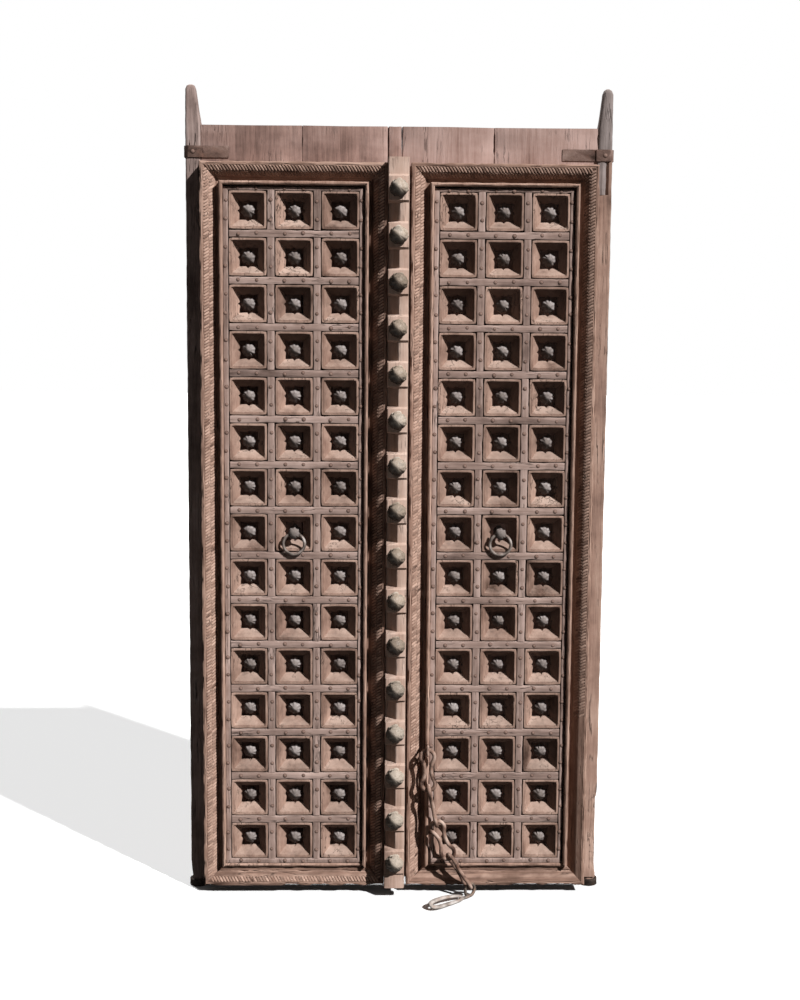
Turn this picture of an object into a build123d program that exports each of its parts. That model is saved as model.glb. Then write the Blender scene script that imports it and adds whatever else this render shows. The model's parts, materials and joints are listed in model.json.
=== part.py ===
"""A pair of old carved door leaves that swing inwards on wooden pivots.

Each leaf is two upright planks on back ledges, hung on a pivot post. Its front carries a carved
border, a ridge moulding and a nailed lattice of square coffers with an iron knob in each. A tall
cover strip with iron bosses is fixed to the left leaf and laps over the right one, so the right
leaf opens first. A forged chain with a hasp hangs on the right leaf.

Frame: +X to the right seen from the front, the front faces -Y, +Z up. The origin is on the floor,
midway between the two pivot axes.
"""
import os
from math import atan2, cos, degrees, pi, sin, sqrt

from build123d import *

os.makedirs("parts", exist_ok=True)

# Coffers and the lattice that holds them
coffer_columns = 3
coffer_rows = 15
coffer_opening = 95.0
lattice_bar = 25.5
lattice_depth = 52.0
batten_width = 16.0
coffer_setback = 2.0
coffer_lip = 2.5
coffer_floor = 51.0

# Mouldings round the lattice, from the outside inwards, and how far they stand off the planks
fillet_width = 10.5
band_width = 28.5
channel_width = 10.5
ridge_width = 10.5
border_depth = 60.0
band_dip = 4.0
low_fillet_depth = 30.0
channel_floor = 30.0
ridge_depth = 62.0
ridge_chamfer = 3.0

# Leaves: planks, plain top, meeting line and back ledges
plank_thickness = 30.0
plank_setback = 20.0
leaf_clearance = 24.0
plain_top = 98.0
centre_gap = 30.0
meeting_offset = 6.0
meeting_gap = 3.0
left_seam_share = 0.54
right_seam_share = 0.47
ledge_height = 92.0
ledge_thickness = 30.0
ledge_end = 24.0
ledge_height_shares = (0.05, 0.275, 0.5, 0.725, 0.95)

# Pivot posts, their top horns, bottom pivots and the iron cups those turn in
post_width = 42.0
post_depth = 48.0
post_chamfer = 9.0
horn_height = 103.0
horn_tip_width = 29.0
horn_tip_depth = 34.0
horn_tip_chamfer = 9.0
pivot_radius = 18.0
pivot_clearance = 0.3
cup_radius = 26.0
cup_height = 18.0
cup_floor = 4.0

# The repaired right pivot: a top piece with a tail let into the post, and a rotten lower edge
scarf_drop = 70.0
tail_width = 27.0
tail_depth = 24.0
tail_length = 101.0
rot_height = 240.0
rot_width = 17.0
rot_depth = 26.0
rot_step_share = 0.8

# Iron straps that tie the post tops to the planks
strap_height = 31.0
strap_thickness = 3.0
strap_drop = 54.0
strap_return = 34.0
left_strap_reach = 73.0
right_strap_reach = 92.0

# Cover strip with its row of bosses
strip_clearance = 6.0
strip_depth = 100.0
strip_lap_clearance = 0.5
strip_top_rise = 10.0
strip_bottom_rise = 7.0
strip_chamfer = 29.0
strip_chamfer_depth = 44.0
boss_count = 16
boss_bottom_end = 73.0
boss_top_end = 79.0
boss_block = 60.0
boss_block_rise = 6.0
boss_radius = 26.0
boss_sides = 8
boss_foot_share = 0.85
boss_waist = 9.0
boss_height = 26.0
boss_top_share = 0.5

# Knobs in the coffers, and the two pierced ones that carry the pull rings
knob_radius = 19.0
knob_sides = 6
knob_foot_share = 0.72
knob_top_share = 0.45
knob_shoulder = 12.0
knob_height = 24.0
ring_row = 8
ring_column = 2
ring_radius = 28.0
ring_bar = 4.2
ring_facets = 16
lug_thickness = 9.0
lug_radius = 11.0
lug_sides = 8
lug_hole = 4.9
ring_clearance = 3.0

# Chain on the right leaf: staple, four pinched links and a flat hasp that lies on the floor
chain_bar = 5.8
link_end_radius = 18.0
link_length = 111.0
link_waist = 8.5
link_end_facets = 3
link_waist_facets = 2
bar_sides = 8
chain_clearance = 0.3
staple_bar = 4.5
staple_reach = 26.0
staple_gap = 22.0
chain_lean_shares = ((0.035, 0.0), (0.208, 0.0), (0.375, 0.0), (0.53, 0.0))
last_link_twist = -22.0
hasp_heading = 220.0
eye_radius = 17.0
eye_bar = 4.2
eye_facets = 8
hasp_loop_facets = 12
eye_clearance = 2.0
hasp_loop_length = 119.0
hasp_loop_width = 35.0
hasp_loop_bar = 9.0
hasp_thickness = 7.0
hasp_neck = 28.0

# Cuts run past the faces that they open by this much
overrun = 1.0

# Places that follow from the sizes above
pitch = coffer_opening + lattice_bar
border_width = fillet_width + band_width
ridge_inset = border_width + channel_width
batten_inset = ridge_inset + ridge_width
lattice_inset = batten_inset + batten_width
lattice_width = coffer_columns * pitch - lattice_bar
lattice_height = coffer_rows * pitch - lattice_bar
panel_width = lattice_width + 2 * lattice_inset
panel_height = lattice_height + 2 * lattice_inset
panel_inner = centre_gap
panel_outer = centre_gap + panel_width
panel_bottom = leaf_clearance
panel_top = panel_bottom + panel_height
leaf_top = panel_top + plain_top
leaf_height = leaf_top - leaf_clearance
axis_x = panel_outer + post_width / 2
lattice_bottom = panel_bottom + lattice_inset
plank_face = plank_setback
lattice_face = plank_face + lattice_depth
ridge_face = plank_face + ridge_depth
left_meeting = meeting_offset - meeting_gap / 2
right_meeting = meeting_offset + meeting_gap / 2


def front(depth):
    """The upright plane this far in front of the pivot axes; it looks out of the door."""
    return Plane.XZ.offset(depth)


def save(piece, name):
    """Label a finished piece and write it under its own name."""
    piece.label = name
    export_step(piece, f"parts/{name}.step")


def board(x_low, x_high, z_low, z_high, face, thickness):
    """A flat board whose front face lies at the given depth."""
    with BuildPart() as piece:
        with BuildSketch(front(face - thickness)):
            with Locations(((x_low + x_high) / 2, (z_low + z_high) / 2)):
                Rectangle(x_high - x_low, z_high - z_low)
        extrude(amount=thickness)
    return piece.part


def panel_span(side):
    """Left and right edge of a leaf's carved panel; side is -1 for the left leaf, 1 for the right."""
    return sorted((side * panel_inner, side * panel_outer))


def mitred_frame(side, inset, outline, left_outline=None):
    """Four mouldings mitred round a panel. The outline is (width inwards, height off the planks);
    the left one may have an outline of its own."""
    x_low, x_high = panel_span(side)
    x_low, x_high = x_low + inset, x_high - inset
    z_low, z_high = panel_bottom + inset, panel_top - inset
    corners = [(x_low, z_low), (x_high, z_low), (x_high, z_high), (x_low, z_high)]
    outlines = [outline, outline, outline, left_outline or outline]
    pieces = []
    for index, (x, z) in enumerate(corners):
        next_x, next_z = corners[(index + 1) % len(corners)]
        run = Vector(next_x - x, 0, next_z - z)
        along = run.normalized()
        inward = along.cross(Vector(0, 1, 0))
        start = Vector(x, -plank_face, z)
        with BuildPart() as piece:
            with BuildSketch(Plane(origin=start, x_dir=inward, z_dir=along)):
                with BuildLine():
                    Polyline(*outlines[index], close=True)
                make_face()
            extrude(amount=run.length)
            split(bisect_by=Plane(origin=start, z_dir=along - inward), keep=Keep.TOP)
            split(bisect_by=Plane(origin=start + run, z_dir=-along - inward), keep=Keep.TOP)
        pieces.append(piece.part)
    return dict(zip(("bottom", "right", "top", "left"), pieces))


def clear_of_strip(border):
    """Cut a border's end down to the low fillet, where the cover strip swings past it."""
    with BuildPart() as cut_border:
        add(border)
        with BuildSketch(front(plank_face + low_fillet_depth)):
            with Locations((panel_inner, (panel_bottom + panel_top) / 2)):
                Rectangle(2 * fillet_width, panel_height + overrun)
        extrude(amount=border_depth, mode=Mode.SUBTRACT)
    return cut_border.part


def coffer_places(side):
    """Centres of a leaf's coffers as (x, z), in rows from the top."""
    middle = side * (panel_inner + panel_outer) / 2
    for row in range(coffer_rows):
        z = lattice_bottom + coffer_opening / 2 + (coffer_rows - 1 - row) * pitch
        for column in range(coffer_columns):
            yield row + 1, column + 1, middle + (column - (coffer_columns - 1) / 2) * pitch, z


def many_sided(outline, sides):
    """A flat-sided form that stands on the plane Y = 0 and points to the front.

    The outline is (half width across the flats, height) from its foot to its top."""
    profile = outline + [(-width, height) for width, height in reversed(outline)]
    reach = 2 * max(width for width, _ in outline)
    with BuildPart() as form:
        for index in range(sides // 2):
            across = Vector(1, 0, 0).rotate(Axis.Y, 360 * index / sides)
            with BuildSketch(Plane(origin=(0, 0, 0), x_dir=across, z_dir=across.cross(Vector(0, -1, 0)))):
                with BuildLine():
                    Polyline(*profile, close=True)
                make_face()
            extrude(amount=reach, both=True, mode=Mode.INTERSECT if index else Mode.ADD)
    return form.part


def coffer_frames(side):
    """Bevelled boxes that line the openings of the lattice."""
    height = lattice_depth - coffer_setback
    mouth = coffer_opening / 2 - coffer_lip
    bevel = many_sided([(coffer_floor / 2, 0), (mouth, height)], 4)
    with BuildPart() as coffer:
        with BuildSketch(front(plank_face)):
            Rectangle(coffer_opening, coffer_opening)
        extrude(amount=height)
        with Locations((0, -plank_face, 0)):
            add(bevel, mode=Mode.SUBTRACT)
    with BuildPart() as coffers:
        with Locations(*((x, 0, z) for _, _, x, z in coffer_places(side))):
            add(coffer.part)
    return coffers.part


def knob_head():
    """A six-sided forged knob, undercut at its foot and drawn in at its top."""
    flat = knob_radius * cos(pi / knob_sides)
    outline = [(flat * knob_foot_share, 0), (flat, knob_shoulder), (flat * knob_top_share, knob_height)]
    return many_sided(outline, knob_sides)


def coffer_knobs(side):
    """One knob on the planks in every coffer but the one that carries the pull ring."""
    knob = knob_head()
    with BuildPart() as knobs:
        places = [
            (x, -plank_face, z)
            for row, column, x, z in coffer_places(side)
            if (row, column) != (ring_row, ring_column)
        ]
        with Locations(*places):
            add(knob)
    return knobs.part


def lattice_rails(side):
    """Level bars of the lattice, from batten to batten."""
    x_low, x_high = panel_span(side)
    with BuildPart() as rails:
        with BuildSketch(front(plank_face)):
            for index in range(1, coffer_rows):
                with Locations(((x_low + x_high) / 2, lattice_bottom + index * pitch - lattice_bar / 2)):
                    Rectangle(lattice_width, lattice_bar)
        extrude(amount=lattice_depth)
    return rails.part


def lattice_uprights(side):
    """Short upright bars nailed between the level ones."""
    middle = side * (panel_inner + panel_outer) / 2
    with BuildPart() as uprights:
        with BuildSketch(front(plank_face)):
            with Locations((middle, lattice_bottom + lattice_height / 2)):
                with GridLocations(pitch, pitch, coffer_columns - 1, coffer_rows):
                    Rectangle(lattice_bar, coffer_opening)
        extrude(amount=lattice_depth)
    return uprights.part


def back_ledges(side, x_low, x_high):
    """Boards across the back that the planks are nailed to."""
    with BuildPart() as ledges:
        with BuildSketch(front(plank_face - plank_thickness - ledge_thickness)):
            for share in ledge_height_shares:
                with Locations(((x_low + x_high) / 2, leaf_clearance + leaf_height * share)):
                    Rectangle(x_high - x_low - 2 * ledge_end, ledge_height)
        extrude(amount=ledge_thickness)
        chamfer(ledges.edges().filter_by(Axis.X).group_by(Axis.Y)[-1], ledge_thickness / 6)
    return ledges.part


def post_blank(side):
    """A whole pivot post: front outline, side outline and rounded plan cut one block."""
    outer = side * (axis_x + post_width / 2)
    inner = side * (axis_x - post_width / 2)
    tip = leaf_top + horn_height
    tip_inner = outer - side * horn_tip_width
    half = post_depth / 2
    tip_half = horn_tip_depth / 2
    with BuildPart() as post:
        with BuildSketch(Plane.XZ):
            with BuildLine():
                Polyline(
                    (inner, leaf_clearance),
                    (outer, leaf_clearance),
                    (outer, tip - horn_tip_chamfer),
                    (outer - side * horn_tip_chamfer, tip),
                    (tip_inner + side * horn_tip_chamfer, tip),
                    (tip_inner, tip - horn_tip_chamfer),
                    (inner, leaf_top),
                    close=True,
                )
            make_face()
        extrude(amount=half, both=True)
        with BuildSketch(Plane.YZ.offset(side * axis_x)):
            with BuildLine():
                Polyline(
                    (-half, leaf_clearance),
                    (half, leaf_clearance),
                    (half, leaf_top),
                    (tip_half, tip - horn_tip_chamfer),
                    (tip_half - horn_tip_chamfer, tip),
                    (horn_tip_chamfer - tip_half, tip),
                    (-tip_half, tip - horn_tip_chamfer),
                    (-half, leaf_top),
                    close=True,
                )
            make_face()
        extrude(amount=post_width, both=True, mode=Mode.INTERSECT)
        with BuildSketch(Plane.XY.offset(leaf_clearance)) as plan:
            with Locations((side * axis_x, 0)):
                Rectangle(post_width, post_depth)
            chamfer(plan.vertices().group_by(Axis.X)[-1 if side > 0 else 0], post_chamfer)
        extrude(amount=tip, mode=Mode.INTERSECT)
    return post.part


def bottom_pivot(side):
    """Round pivot under a post, down to the floor of its cup."""
    foot = cup_floor + pivot_clearance
    with BuildPart() as pivot:
        with BuildSketch(Plane.XY.offset(foot)):
            with Locations((side * axis_x, 0)):
                Circle(pivot_radius)
        extrude(amount=leaf_clearance - foot)
    return pivot.part


def pivot_strap(side, reach):
    """Iron strap from the planks, over the post's front and round its outer side."""
    outer = axis_x + post_width / 2
    inner = axis_x - post_width / 2
    face = post_depth / 2
    back = face - strap_return
    skin = strap_thickness
    outline = [
        (inner - reach, plank_face),
        (inner, plank_face),
        (inner, face),
        (outer - post_chamfer, face),
        (outer, face - post_chamfer),
        (outer, back),
        (outer + skin, back),
        (outer + skin, face - post_chamfer + skin / 2),
        (outer - post_chamfer + skin / 2, face + skin),
        (inner - skin, face + skin),
        (inner - skin, plank_face + skin),
        (inner - reach, plank_face + skin),
    ]
    with BuildPart() as strap:
        with BuildSketch(Plane.XY.offset(leaf_top - strap_drop - strap_height)):
            with BuildLine():
                Polyline(*((side * x, -depth) for x, depth in outline), close=True)
            make_face()
        extrude(amount=strap_height)
    return strap.part


def forged_loop(points, radius):
    """A closed loop of eight-sided bar along flat runs, mitred at each point.

    The points are given for one half. The loop crosses its plane of symmetry squarely at the
    first and the last of them."""
    first = Vector(points[0])
    start = (Vector(points[1]) - first).normalized()
    normal = start.cross(Vector(points[-1]) - first).normalized()
    with BuildPart() as loop:
        with BuildLine() as path:
            Polyline(*points)
        with BuildSketch(Plane(origin=first, x_dir=normal, z_dir=start)):
            RegularPolygon(radius, bar_sides, rotation=180 / bar_sides)
        sweep(path=path.line, transition=Transition.RIGHT)
        mirror(about=Plane(origin=first, x_dir=normal, z_dir=start))
    return loop.part


def half_round(radius, facets):
    """Half a many-sided ring as (forwards, sideways), with a flat run at its start and its end."""
    step = 2 * pi / facets
    corner = radius / cos(step / 2)
    corners = [step * (index + 1 / 2) for index in range(facets // 2)]
    bends = [(corner * cos(angle), corner * sin(angle)) for angle in corners]
    return [(radius, 0)] + bends + [(-radius, 0)]


def half_link_path(top, along, across):
    """Half the centre line of a pinched link, from its top bar round to its bottom bar."""
    middle = link_length / 2
    reach = middle - link_end_radius
    waist_radius = (reach**2 + link_waist**2 - link_end_radius**2) / (2 * (link_end_radius - link_waist))
    turn = atan2(link_waist + waist_radius, -reach)
    step = turn / link_end_facets
    corner = link_end_radius / cos(step / 2)
    bends = [(middle, 0)]
    for index in range(link_end_facets):
        angle = step * (index + 1 / 2)
        bends.append((reach + corner * cos(angle), corner * sin(angle)))
    lean = (turn - pi / 2) / link_waist_facets
    bends.append((waist_radius * sin(lean) / cos(lean), link_waist))
    places = [(-u, v) for u, v in bends] + list(reversed(bends))
    centre = top + along * middle
    return [centre + along * u + across * v for u, v in places]


def hasp_outline(radius):
    """Outline of the hasp's long loop, at this distance from the line that its bar is bent round."""
    near = hasp_neck + hasp_loop_width / 2
    far = hasp_neck + hasp_loop_length - hasp_loop_width / 2
    half = half_round(radius, hasp_loop_facets)[1:-1]
    half = half[: len(half) // 2]
    quarter = [(far + ahead, across) for ahead, across in half]
    rear = [(near - ahead, across) for ahead, across in reversed(half)]
    side = quarter + rear
    return side + [(ahead, -across) for ahead, across in reversed(side)]


# The two iron cups in the threshold, in which the bottom pivots turn
with BuildPart() as pivot_sockets:
    with BuildSketch():
        with Locations((-axis_x, 0), (axis_x, 0)):
            Circle(cup_radius)
    extrude(amount=cup_height)
    with BuildSketch(Plane.XY.offset(cup_floor)):
        with Locations((-axis_x, 0), (axis_x, 0)):
            Circle(pivot_radius + pivot_clearance)
    extrude(amount=cup_height, mode=Mode.SUBTRACT)
save(pivot_sockets.part, "pivot_sockets")

# Left pivot post, one piece from its bottom pivot to its horn
with BuildPart() as left_pivot_post:
    add(post_blank(-1))
    add(bottom_pivot(-1))
save(left_pivot_post.part, "left_pivot_post")

# Right pivot post: cut off under the strap, rebated for the tail of the new top, rotten at its foot
scarf_level = leaf_top - scarf_drop
tail_centre = axis_x - post_width / 2 + tail_width / 2
with BuildPart() as right_pivot_post:
    add(post_blank(1))
    split(bisect_by=Plane.XY.offset(scarf_level), keep=Keep.BOTTOM)
    with BuildSketch(front(post_depth / 2 - tail_depth)):
        with Locations((tail_centre, scarf_level - tail_length / 2)):
            Rectangle(tail_width, tail_length)
    extrude(amount=tail_depth + overrun, mode=Mode.SUBTRACT)
    rot_edge = axis_x + post_width / 2
    with BuildSketch(front(post_depth / 2 - rot_depth)):
        with BuildLine():
            Polyline(
                (rot_edge + overrun, leaf_clearance - overrun),
                (rot_edge - rot_width, leaf_clearance - overrun),
                (rot_edge - rot_width * rot_step_share, leaf_clearance + rot_height * rot_step_share),
                (rot_edge + overrun, leaf_clearance + rot_height),
                close=True,
            )
        make_face()
    extrude(amount=rot_depth + overrun, mode=Mode.SUBTRACT)
    add(bottom_pivot(1))
save(right_pivot_post.part, "right_pivot_post")

# The right post's renewed top: horn above, tail let into the post below
with BuildPart() as right_top_pivot:
    add(post_blank(1))
    split(bisect_by=Plane.XY.offset(scarf_level), keep=Keep.TOP)
    with BuildSketch(front(post_depth / 2 - tail_depth)):
        with Locations((tail_centre, scarf_level - tail_length / 2)):
            Rectangle(tail_width, tail_length)
    extrude(amount=tail_depth)
save(right_top_pivot.part, "right_top_pivot")

# Planks, two to a leaf, and the left leaf's meeting stile
left_seam = -panel_outer + left_seam_share * panel_width
right_seam = right_meeting + right_seam_share * (panel_outer - right_meeting)
plank_spans = {
    "left_outer_plank": (-panel_outer, left_seam),
    "left_inner_plank": (left_seam, -panel_inner),
    "left_meeting_stile": (-panel_inner, left_meeting),
    "right_inner_plank": (right_meeting, right_seam),
    "right_outer_plank": (right_seam, panel_outer),
}
for name, (x_low, x_high) in plank_spans.items():
    save(board(x_low, x_high, leaf_clearance, leaf_top, plank_face, plank_thickness), name)

# Front work of each leaf: border, ridge moulding, lattice, coffers and knobs, and its back ledges
border_outline = [
    (0, 0),
    (0, border_depth),
    (fillet_width, border_depth),
    (fillet_width, border_depth - band_dip),
    (fillet_width + band_width / 2, border_depth),
    (border_width, border_depth - band_dip),
    (border_width, channel_floor),
    (ridge_inset, channel_floor),
    (ridge_inset, 0),
]
lap_outline = [(0, 0), (0, low_fillet_depth), (fillet_width, low_fillet_depth)] + border_outline[3:]
ridge_outline = [
    (0, 0),
    (0, ridge_depth - ridge_chamfer),
    (ridge_chamfer, ridge_depth),
    (ridge_width - ridge_chamfer, ridge_depth),
    (ridge_width, ridge_depth - ridge_chamfer),
    (ridge_width, 0),
]
batten_outline = [(0, 0), (0, lattice_depth), (batten_width, lattice_depth), (batten_width, 0)]
for side, leaf, wings in (
    (-1, "left", {"left": "outer", "right": "inner"}),
    (1, "right", {"left": "inner", "right": "outer"}),
):
    left_outline = lap_outline if side > 0 else border_outline
    for place, piece in mitred_frame(side, 0, border_outline, left_outline).items():
        if side > 0 and place in ("top", "bottom"):
            piece = clear_of_strip(piece)
        save(piece, f"{leaf}_border_{wings.get(place, place)}")
    ridge = mitred_frame(side, ridge_inset, ridge_outline)
    save(Compound(children=list(ridge.values())), f"{leaf}_ridge_moulding")
    battens = mitred_frame(side, batten_inset, batten_outline)
    save(Compound(children=list(battens.values())), f"{leaf}_lattice_battens")
    save(lattice_rails(side), f"{leaf}_lattice_rails")
    save(lattice_uprights(side), f"{leaf}_lattice_uprights")
    save(coffer_frames(side), f"{leaf}_coffers")
    save(coffer_knobs(side), f"{leaf}_coffer_knobs")
save(back_ledges(-1, -panel_outer, left_meeting), "left_back_ledges")
save(back_ledges(1, right_meeting, panel_outer), "right_back_ledges")

# Iron straps at the post tops
save(pivot_strap(-1, left_strap_reach), "left_pivot_strap")
save(pivot_strap(1, right_strap_reach), "right_pivot_strap")

# Cover strip: square blocks that carry the bosses, and a wide stopped chamfer between them
strip_left = -panel_inner
strip_right = panel_inner - strip_clearance
strip_middle = (strip_left + strip_right) / 2
strip_bottom = panel_bottom + strip_bottom_rise
strip_top = panel_top + strip_top_rise
strip_back = plank_face + strip_lap_clearance
strip_face = plank_face + strip_depth
block_face = strip_face + boss_block_rise
boss_pitch = (strip_top - strip_bottom - boss_bottom_end - boss_top_end) / (boss_count - 1)
boss_levels = [strip_bottom + boss_bottom_end + index * boss_pitch for index in range(boss_count)]
with BuildPart() as cover_strip:
    with BuildSketch(Plane.XY.offset(strip_bottom)):
        with BuildLine():
            Polyline(
                (strip_left, -plank_face),
                (left_meeting, -plank_face),
                (left_meeting, -strip_back),
                (strip_right, -strip_back),
                (strip_right, -strip_face),
                (strip_left, -strip_face),
                close=True,
            )
        make_face()
    extrude(amount=strip_top - strip_bottom)
    for low, high in zip(boss_levels, boss_levels[1:]):
        with BuildSketch(Plane.XY.offset(low + boss_block / 2)):
            with BuildLine():
                Polyline(
                    (strip_left + strip_chamfer, -strip_face),
                    (strip_left, strip_chamfer_depth - strip_face),
                    (strip_left, -strip_face),
                    close=True,
                )
            make_face()
        extrude(amount=high - low - boss_block, mode=Mode.SUBTRACT)
    with BuildSketch(front(strip_face)):
        with Locations(*((strip_middle, level) for level in boss_levels)):
            Rectangle(strip_right - strip_left, boss_block)
    extrude(amount=boss_block_rise)
save(cover_strip.part, "cover_strip")

# Sixteen forged bosses, undercut at the foot and drawn in at the top
boss_flat = boss_radius * cos(pi / boss_sides)
boss = many_sided(
    [(boss_flat * boss_foot_share, 0), (boss_flat, boss_waist), (boss_flat * boss_top_share, boss_height)],
    boss_sides,
)
with BuildPart() as cover_strip_bosses:
    with Locations(*((strip_middle, -block_face, level) for level in boss_levels)):
        add(boss)
save(cover_strip_bosses.part, "cover_strip_bosses")

# Pull rings: a pierced knob in the middle coffer of the eighth row, and the ring that hangs in it
hinge_depth = lattice_face + ring_bar + ring_clearance
lug_start = plank_face + knob_shoulder
for side, leaf in ((-1, "left"), (1, "right")):
    for row, column, ring_x, ring_z in coffer_places(side):
        if (row, column) != (ring_row, ring_column):
            continue
        with BuildPart() as ring_knob:
            with Locations((ring_x, -plank_face, ring_z)):
                add(knob_head())
            with BuildSketch(Plane.YZ.offset(ring_x - lug_thickness / 2)):
                with Locations((-(lug_start + hinge_depth) / 2, ring_z)):
                    Rectangle(hinge_depth - lug_start, lug_radius)
                with Locations((-hinge_depth, ring_z)):
                    RegularPolygon(lug_radius, lug_sides)
                    RegularPolygon(lug_hole, lug_sides, rotation=180 / lug_sides, mode=Mode.SUBTRACT)
            extrude(amount=lug_thickness)
        save(ring_knob.part, f"{leaf}_ring_knob")
        path = [
            Vector(ring_x + across, -hinge_depth, ring_z - ring_radius + rise)
            for rise, across in half_round(ring_radius, ring_facets)
        ]
        save(forged_loop(path, ring_bar), f"{leaf}_pull_ring")

# Chain: the links' directions first, then the staple's height, so that the hasp lies on the floor.
# Links one and three lie flat to the door, two and four stand edge on to it.
bar_flat = cos(pi / bar_sides)
directions = [Vector(x, y, -sqrt(1 - x**2 - y**2)) for x, y in chain_lean_shares]
seat_directions = [directions[index - index % 2] for index in range(len(directions))]
seats = [carrier + chain_bar * bar_flat + chain_clearance for carrier in (staple_bar, *[chain_bar] * 3)]
level = Vector(0, 1, 0)
widths = [level.cross(directions[0]) * -1, level, level.cross(directions[2]) * -1]
edge_on = directions[3].cross(widths[2]).normalized()
widths.append(edge_on.rotate(Axis((0, 0, 0), tuple(directions[3])), last_link_twist))
eye_height = eye_radius + eye_bar * bar_flat
hook_end = eye_height + eye_radius - eye_bar * bar_flat - chain_bar - eye_clearance
staple_height = hook_end
for direction, seat_direction, seat in zip(directions, seat_directions, seats):
    staple_height += seat_direction.Z * seat - direction.Z * link_length
staple_x = panel_inner + ridge_inset + ridge_width / 2
staple_depth = ridge_face + staple_reach
staple_nose = staple_depth + chain_bar + 2 * staple_bar
hook = Vector(staple_x, -staple_depth, staple_height)

# Staple: a bent bar in the ridge moulding; the first link hangs on its lower leg
with BuildPart() as chain_staple:
    with BuildLine() as staple_path:
        Polyline(
            (staple_x, -ridge_face, staple_height),
            (staple_x, -staple_nose, staple_height),
            (staple_x, -staple_nose, staple_height + staple_gap),
            (staple_x, -ridge_face, staple_height + staple_gap),
        )
    with BuildSketch(Plane(origin=(staple_x, -ridge_face, staple_height), x_dir=(1, 0, 0), z_dir=(0, -1, 0))):
        RegularPolygon(staple_bar, bar_sides, rotation=180 / bar_sides)
    sweep(path=staple_path.line, transition=Transition.RIGHT)
save(chain_staple.part, "chain_staple")

for index, (direction, width) in enumerate(zip(directions, widths)):
    top = hook - seat_directions[index] * seats[index]
    save(forged_loop(half_link_path(top, direction, width), chain_bar), f"chain_link_{index + 1}")
    hook = top + direction * link_length

# Hasp: a curled eye on the last link, a short neck and a flat loop on the floor
heading = Vector(1, 0, 0).rotate(Axis.Z, hasp_heading)
eye_path = [
    Vector(hook.X, hook.Y, eye_height) + Vector(0, 0, rise) + heading * across
    for rise, across in half_round(eye_radius, eye_facets)
]
hasp_plane = Plane(origin=(hook.X, hook.Y, 0), x_dir=heading, z_dir=(0, 0, 1))
with BuildPart() as chain_hasp:
    add(forged_loop(eye_path, eye_bar))
    with BuildSketch(hasp_plane):
        with BuildLine():
            Polyline(*hasp_outline(hasp_loop_width / 2), close=True)
        make_face()
        with BuildLine():
            Polyline(*hasp_outline(hasp_loop_width / 2 - hasp_loop_bar), close=True)
        make_face(mode=Mode.SUBTRACT)
        with Locations(((hasp_neck + hasp_loop_bar / 2) / 2, 0)):
            Rectangle(hasp_neck + hasp_loop_bar / 2, 2 * eye_bar * bar_flat)
    extrude(amount=hasp_thickness)
save(chain_hasp.part, "chain_hasp")
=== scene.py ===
import json
import random
from math import atan2, cos, pi, radians, sin, sqrt, tau

import bmesh
import bpy
from mathutils import Matrix, Vector, noise


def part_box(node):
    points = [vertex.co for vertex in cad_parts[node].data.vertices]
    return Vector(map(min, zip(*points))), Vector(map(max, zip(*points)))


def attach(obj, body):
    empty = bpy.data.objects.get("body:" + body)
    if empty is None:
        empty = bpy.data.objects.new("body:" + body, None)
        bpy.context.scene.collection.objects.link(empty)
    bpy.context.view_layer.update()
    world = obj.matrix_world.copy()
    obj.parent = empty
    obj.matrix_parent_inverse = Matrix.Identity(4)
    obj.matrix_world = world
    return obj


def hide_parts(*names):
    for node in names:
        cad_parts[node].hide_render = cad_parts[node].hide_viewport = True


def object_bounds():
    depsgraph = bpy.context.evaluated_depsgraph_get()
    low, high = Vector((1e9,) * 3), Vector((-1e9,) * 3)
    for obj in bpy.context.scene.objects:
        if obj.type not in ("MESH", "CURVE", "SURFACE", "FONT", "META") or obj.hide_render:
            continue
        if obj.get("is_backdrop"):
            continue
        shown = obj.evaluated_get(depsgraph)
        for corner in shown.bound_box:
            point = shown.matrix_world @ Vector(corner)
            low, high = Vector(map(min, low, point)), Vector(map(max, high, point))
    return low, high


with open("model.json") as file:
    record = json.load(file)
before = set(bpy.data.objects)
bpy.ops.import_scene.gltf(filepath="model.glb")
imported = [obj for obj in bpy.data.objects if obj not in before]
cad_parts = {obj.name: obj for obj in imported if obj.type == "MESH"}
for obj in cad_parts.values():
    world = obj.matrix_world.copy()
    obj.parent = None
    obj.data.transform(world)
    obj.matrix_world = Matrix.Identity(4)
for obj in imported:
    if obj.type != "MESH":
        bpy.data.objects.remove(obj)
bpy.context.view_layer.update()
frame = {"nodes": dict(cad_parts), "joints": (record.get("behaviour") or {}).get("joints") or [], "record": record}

# Planks: two wide upright teak boards to a leaf, and a narrow meeting stile on the left leaf.
# They are sawn, sun-bleached, split along the grain and worn round at their edges, and they
# stand bare above the carved panel.
plank_edge, plank_wear, plank_step = 0.003, 0.0035, 0.012
plank_ragged_ends = (0.006, 0.002)
plank_shades = ((74, 56, 51), (150, 121, 111), (192, 164, 155))
plank_tones = {
    "left_outer_plank": 0.30, "left_inner_plank": 0.42, "left_meeting_stile": 0.45,
    "right_inner_plank": 0.75, "right_outer_plank": 0.80,
}
post_lap, meeting_lap = 0.0025, 0.0013
plank_laps = {
    "left_outer_plank": (post_lap, 0), "left_meeting_stile": (0, meeting_lap),
    "right_inner_plank": (meeting_lap, 0), "right_outer_plank": (0, post_lap),
}
timber_chips, ragged_bites = (0.22, (24, 0.9), (85, 0.5)), (0.4, (70, 1))
leaves = ("left", "right")
right, front, up = Vector((1, 0, 0)), Vector((0, -1, 0)), Vector((0, 0, 1))
scene = bpy.context.scene


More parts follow.
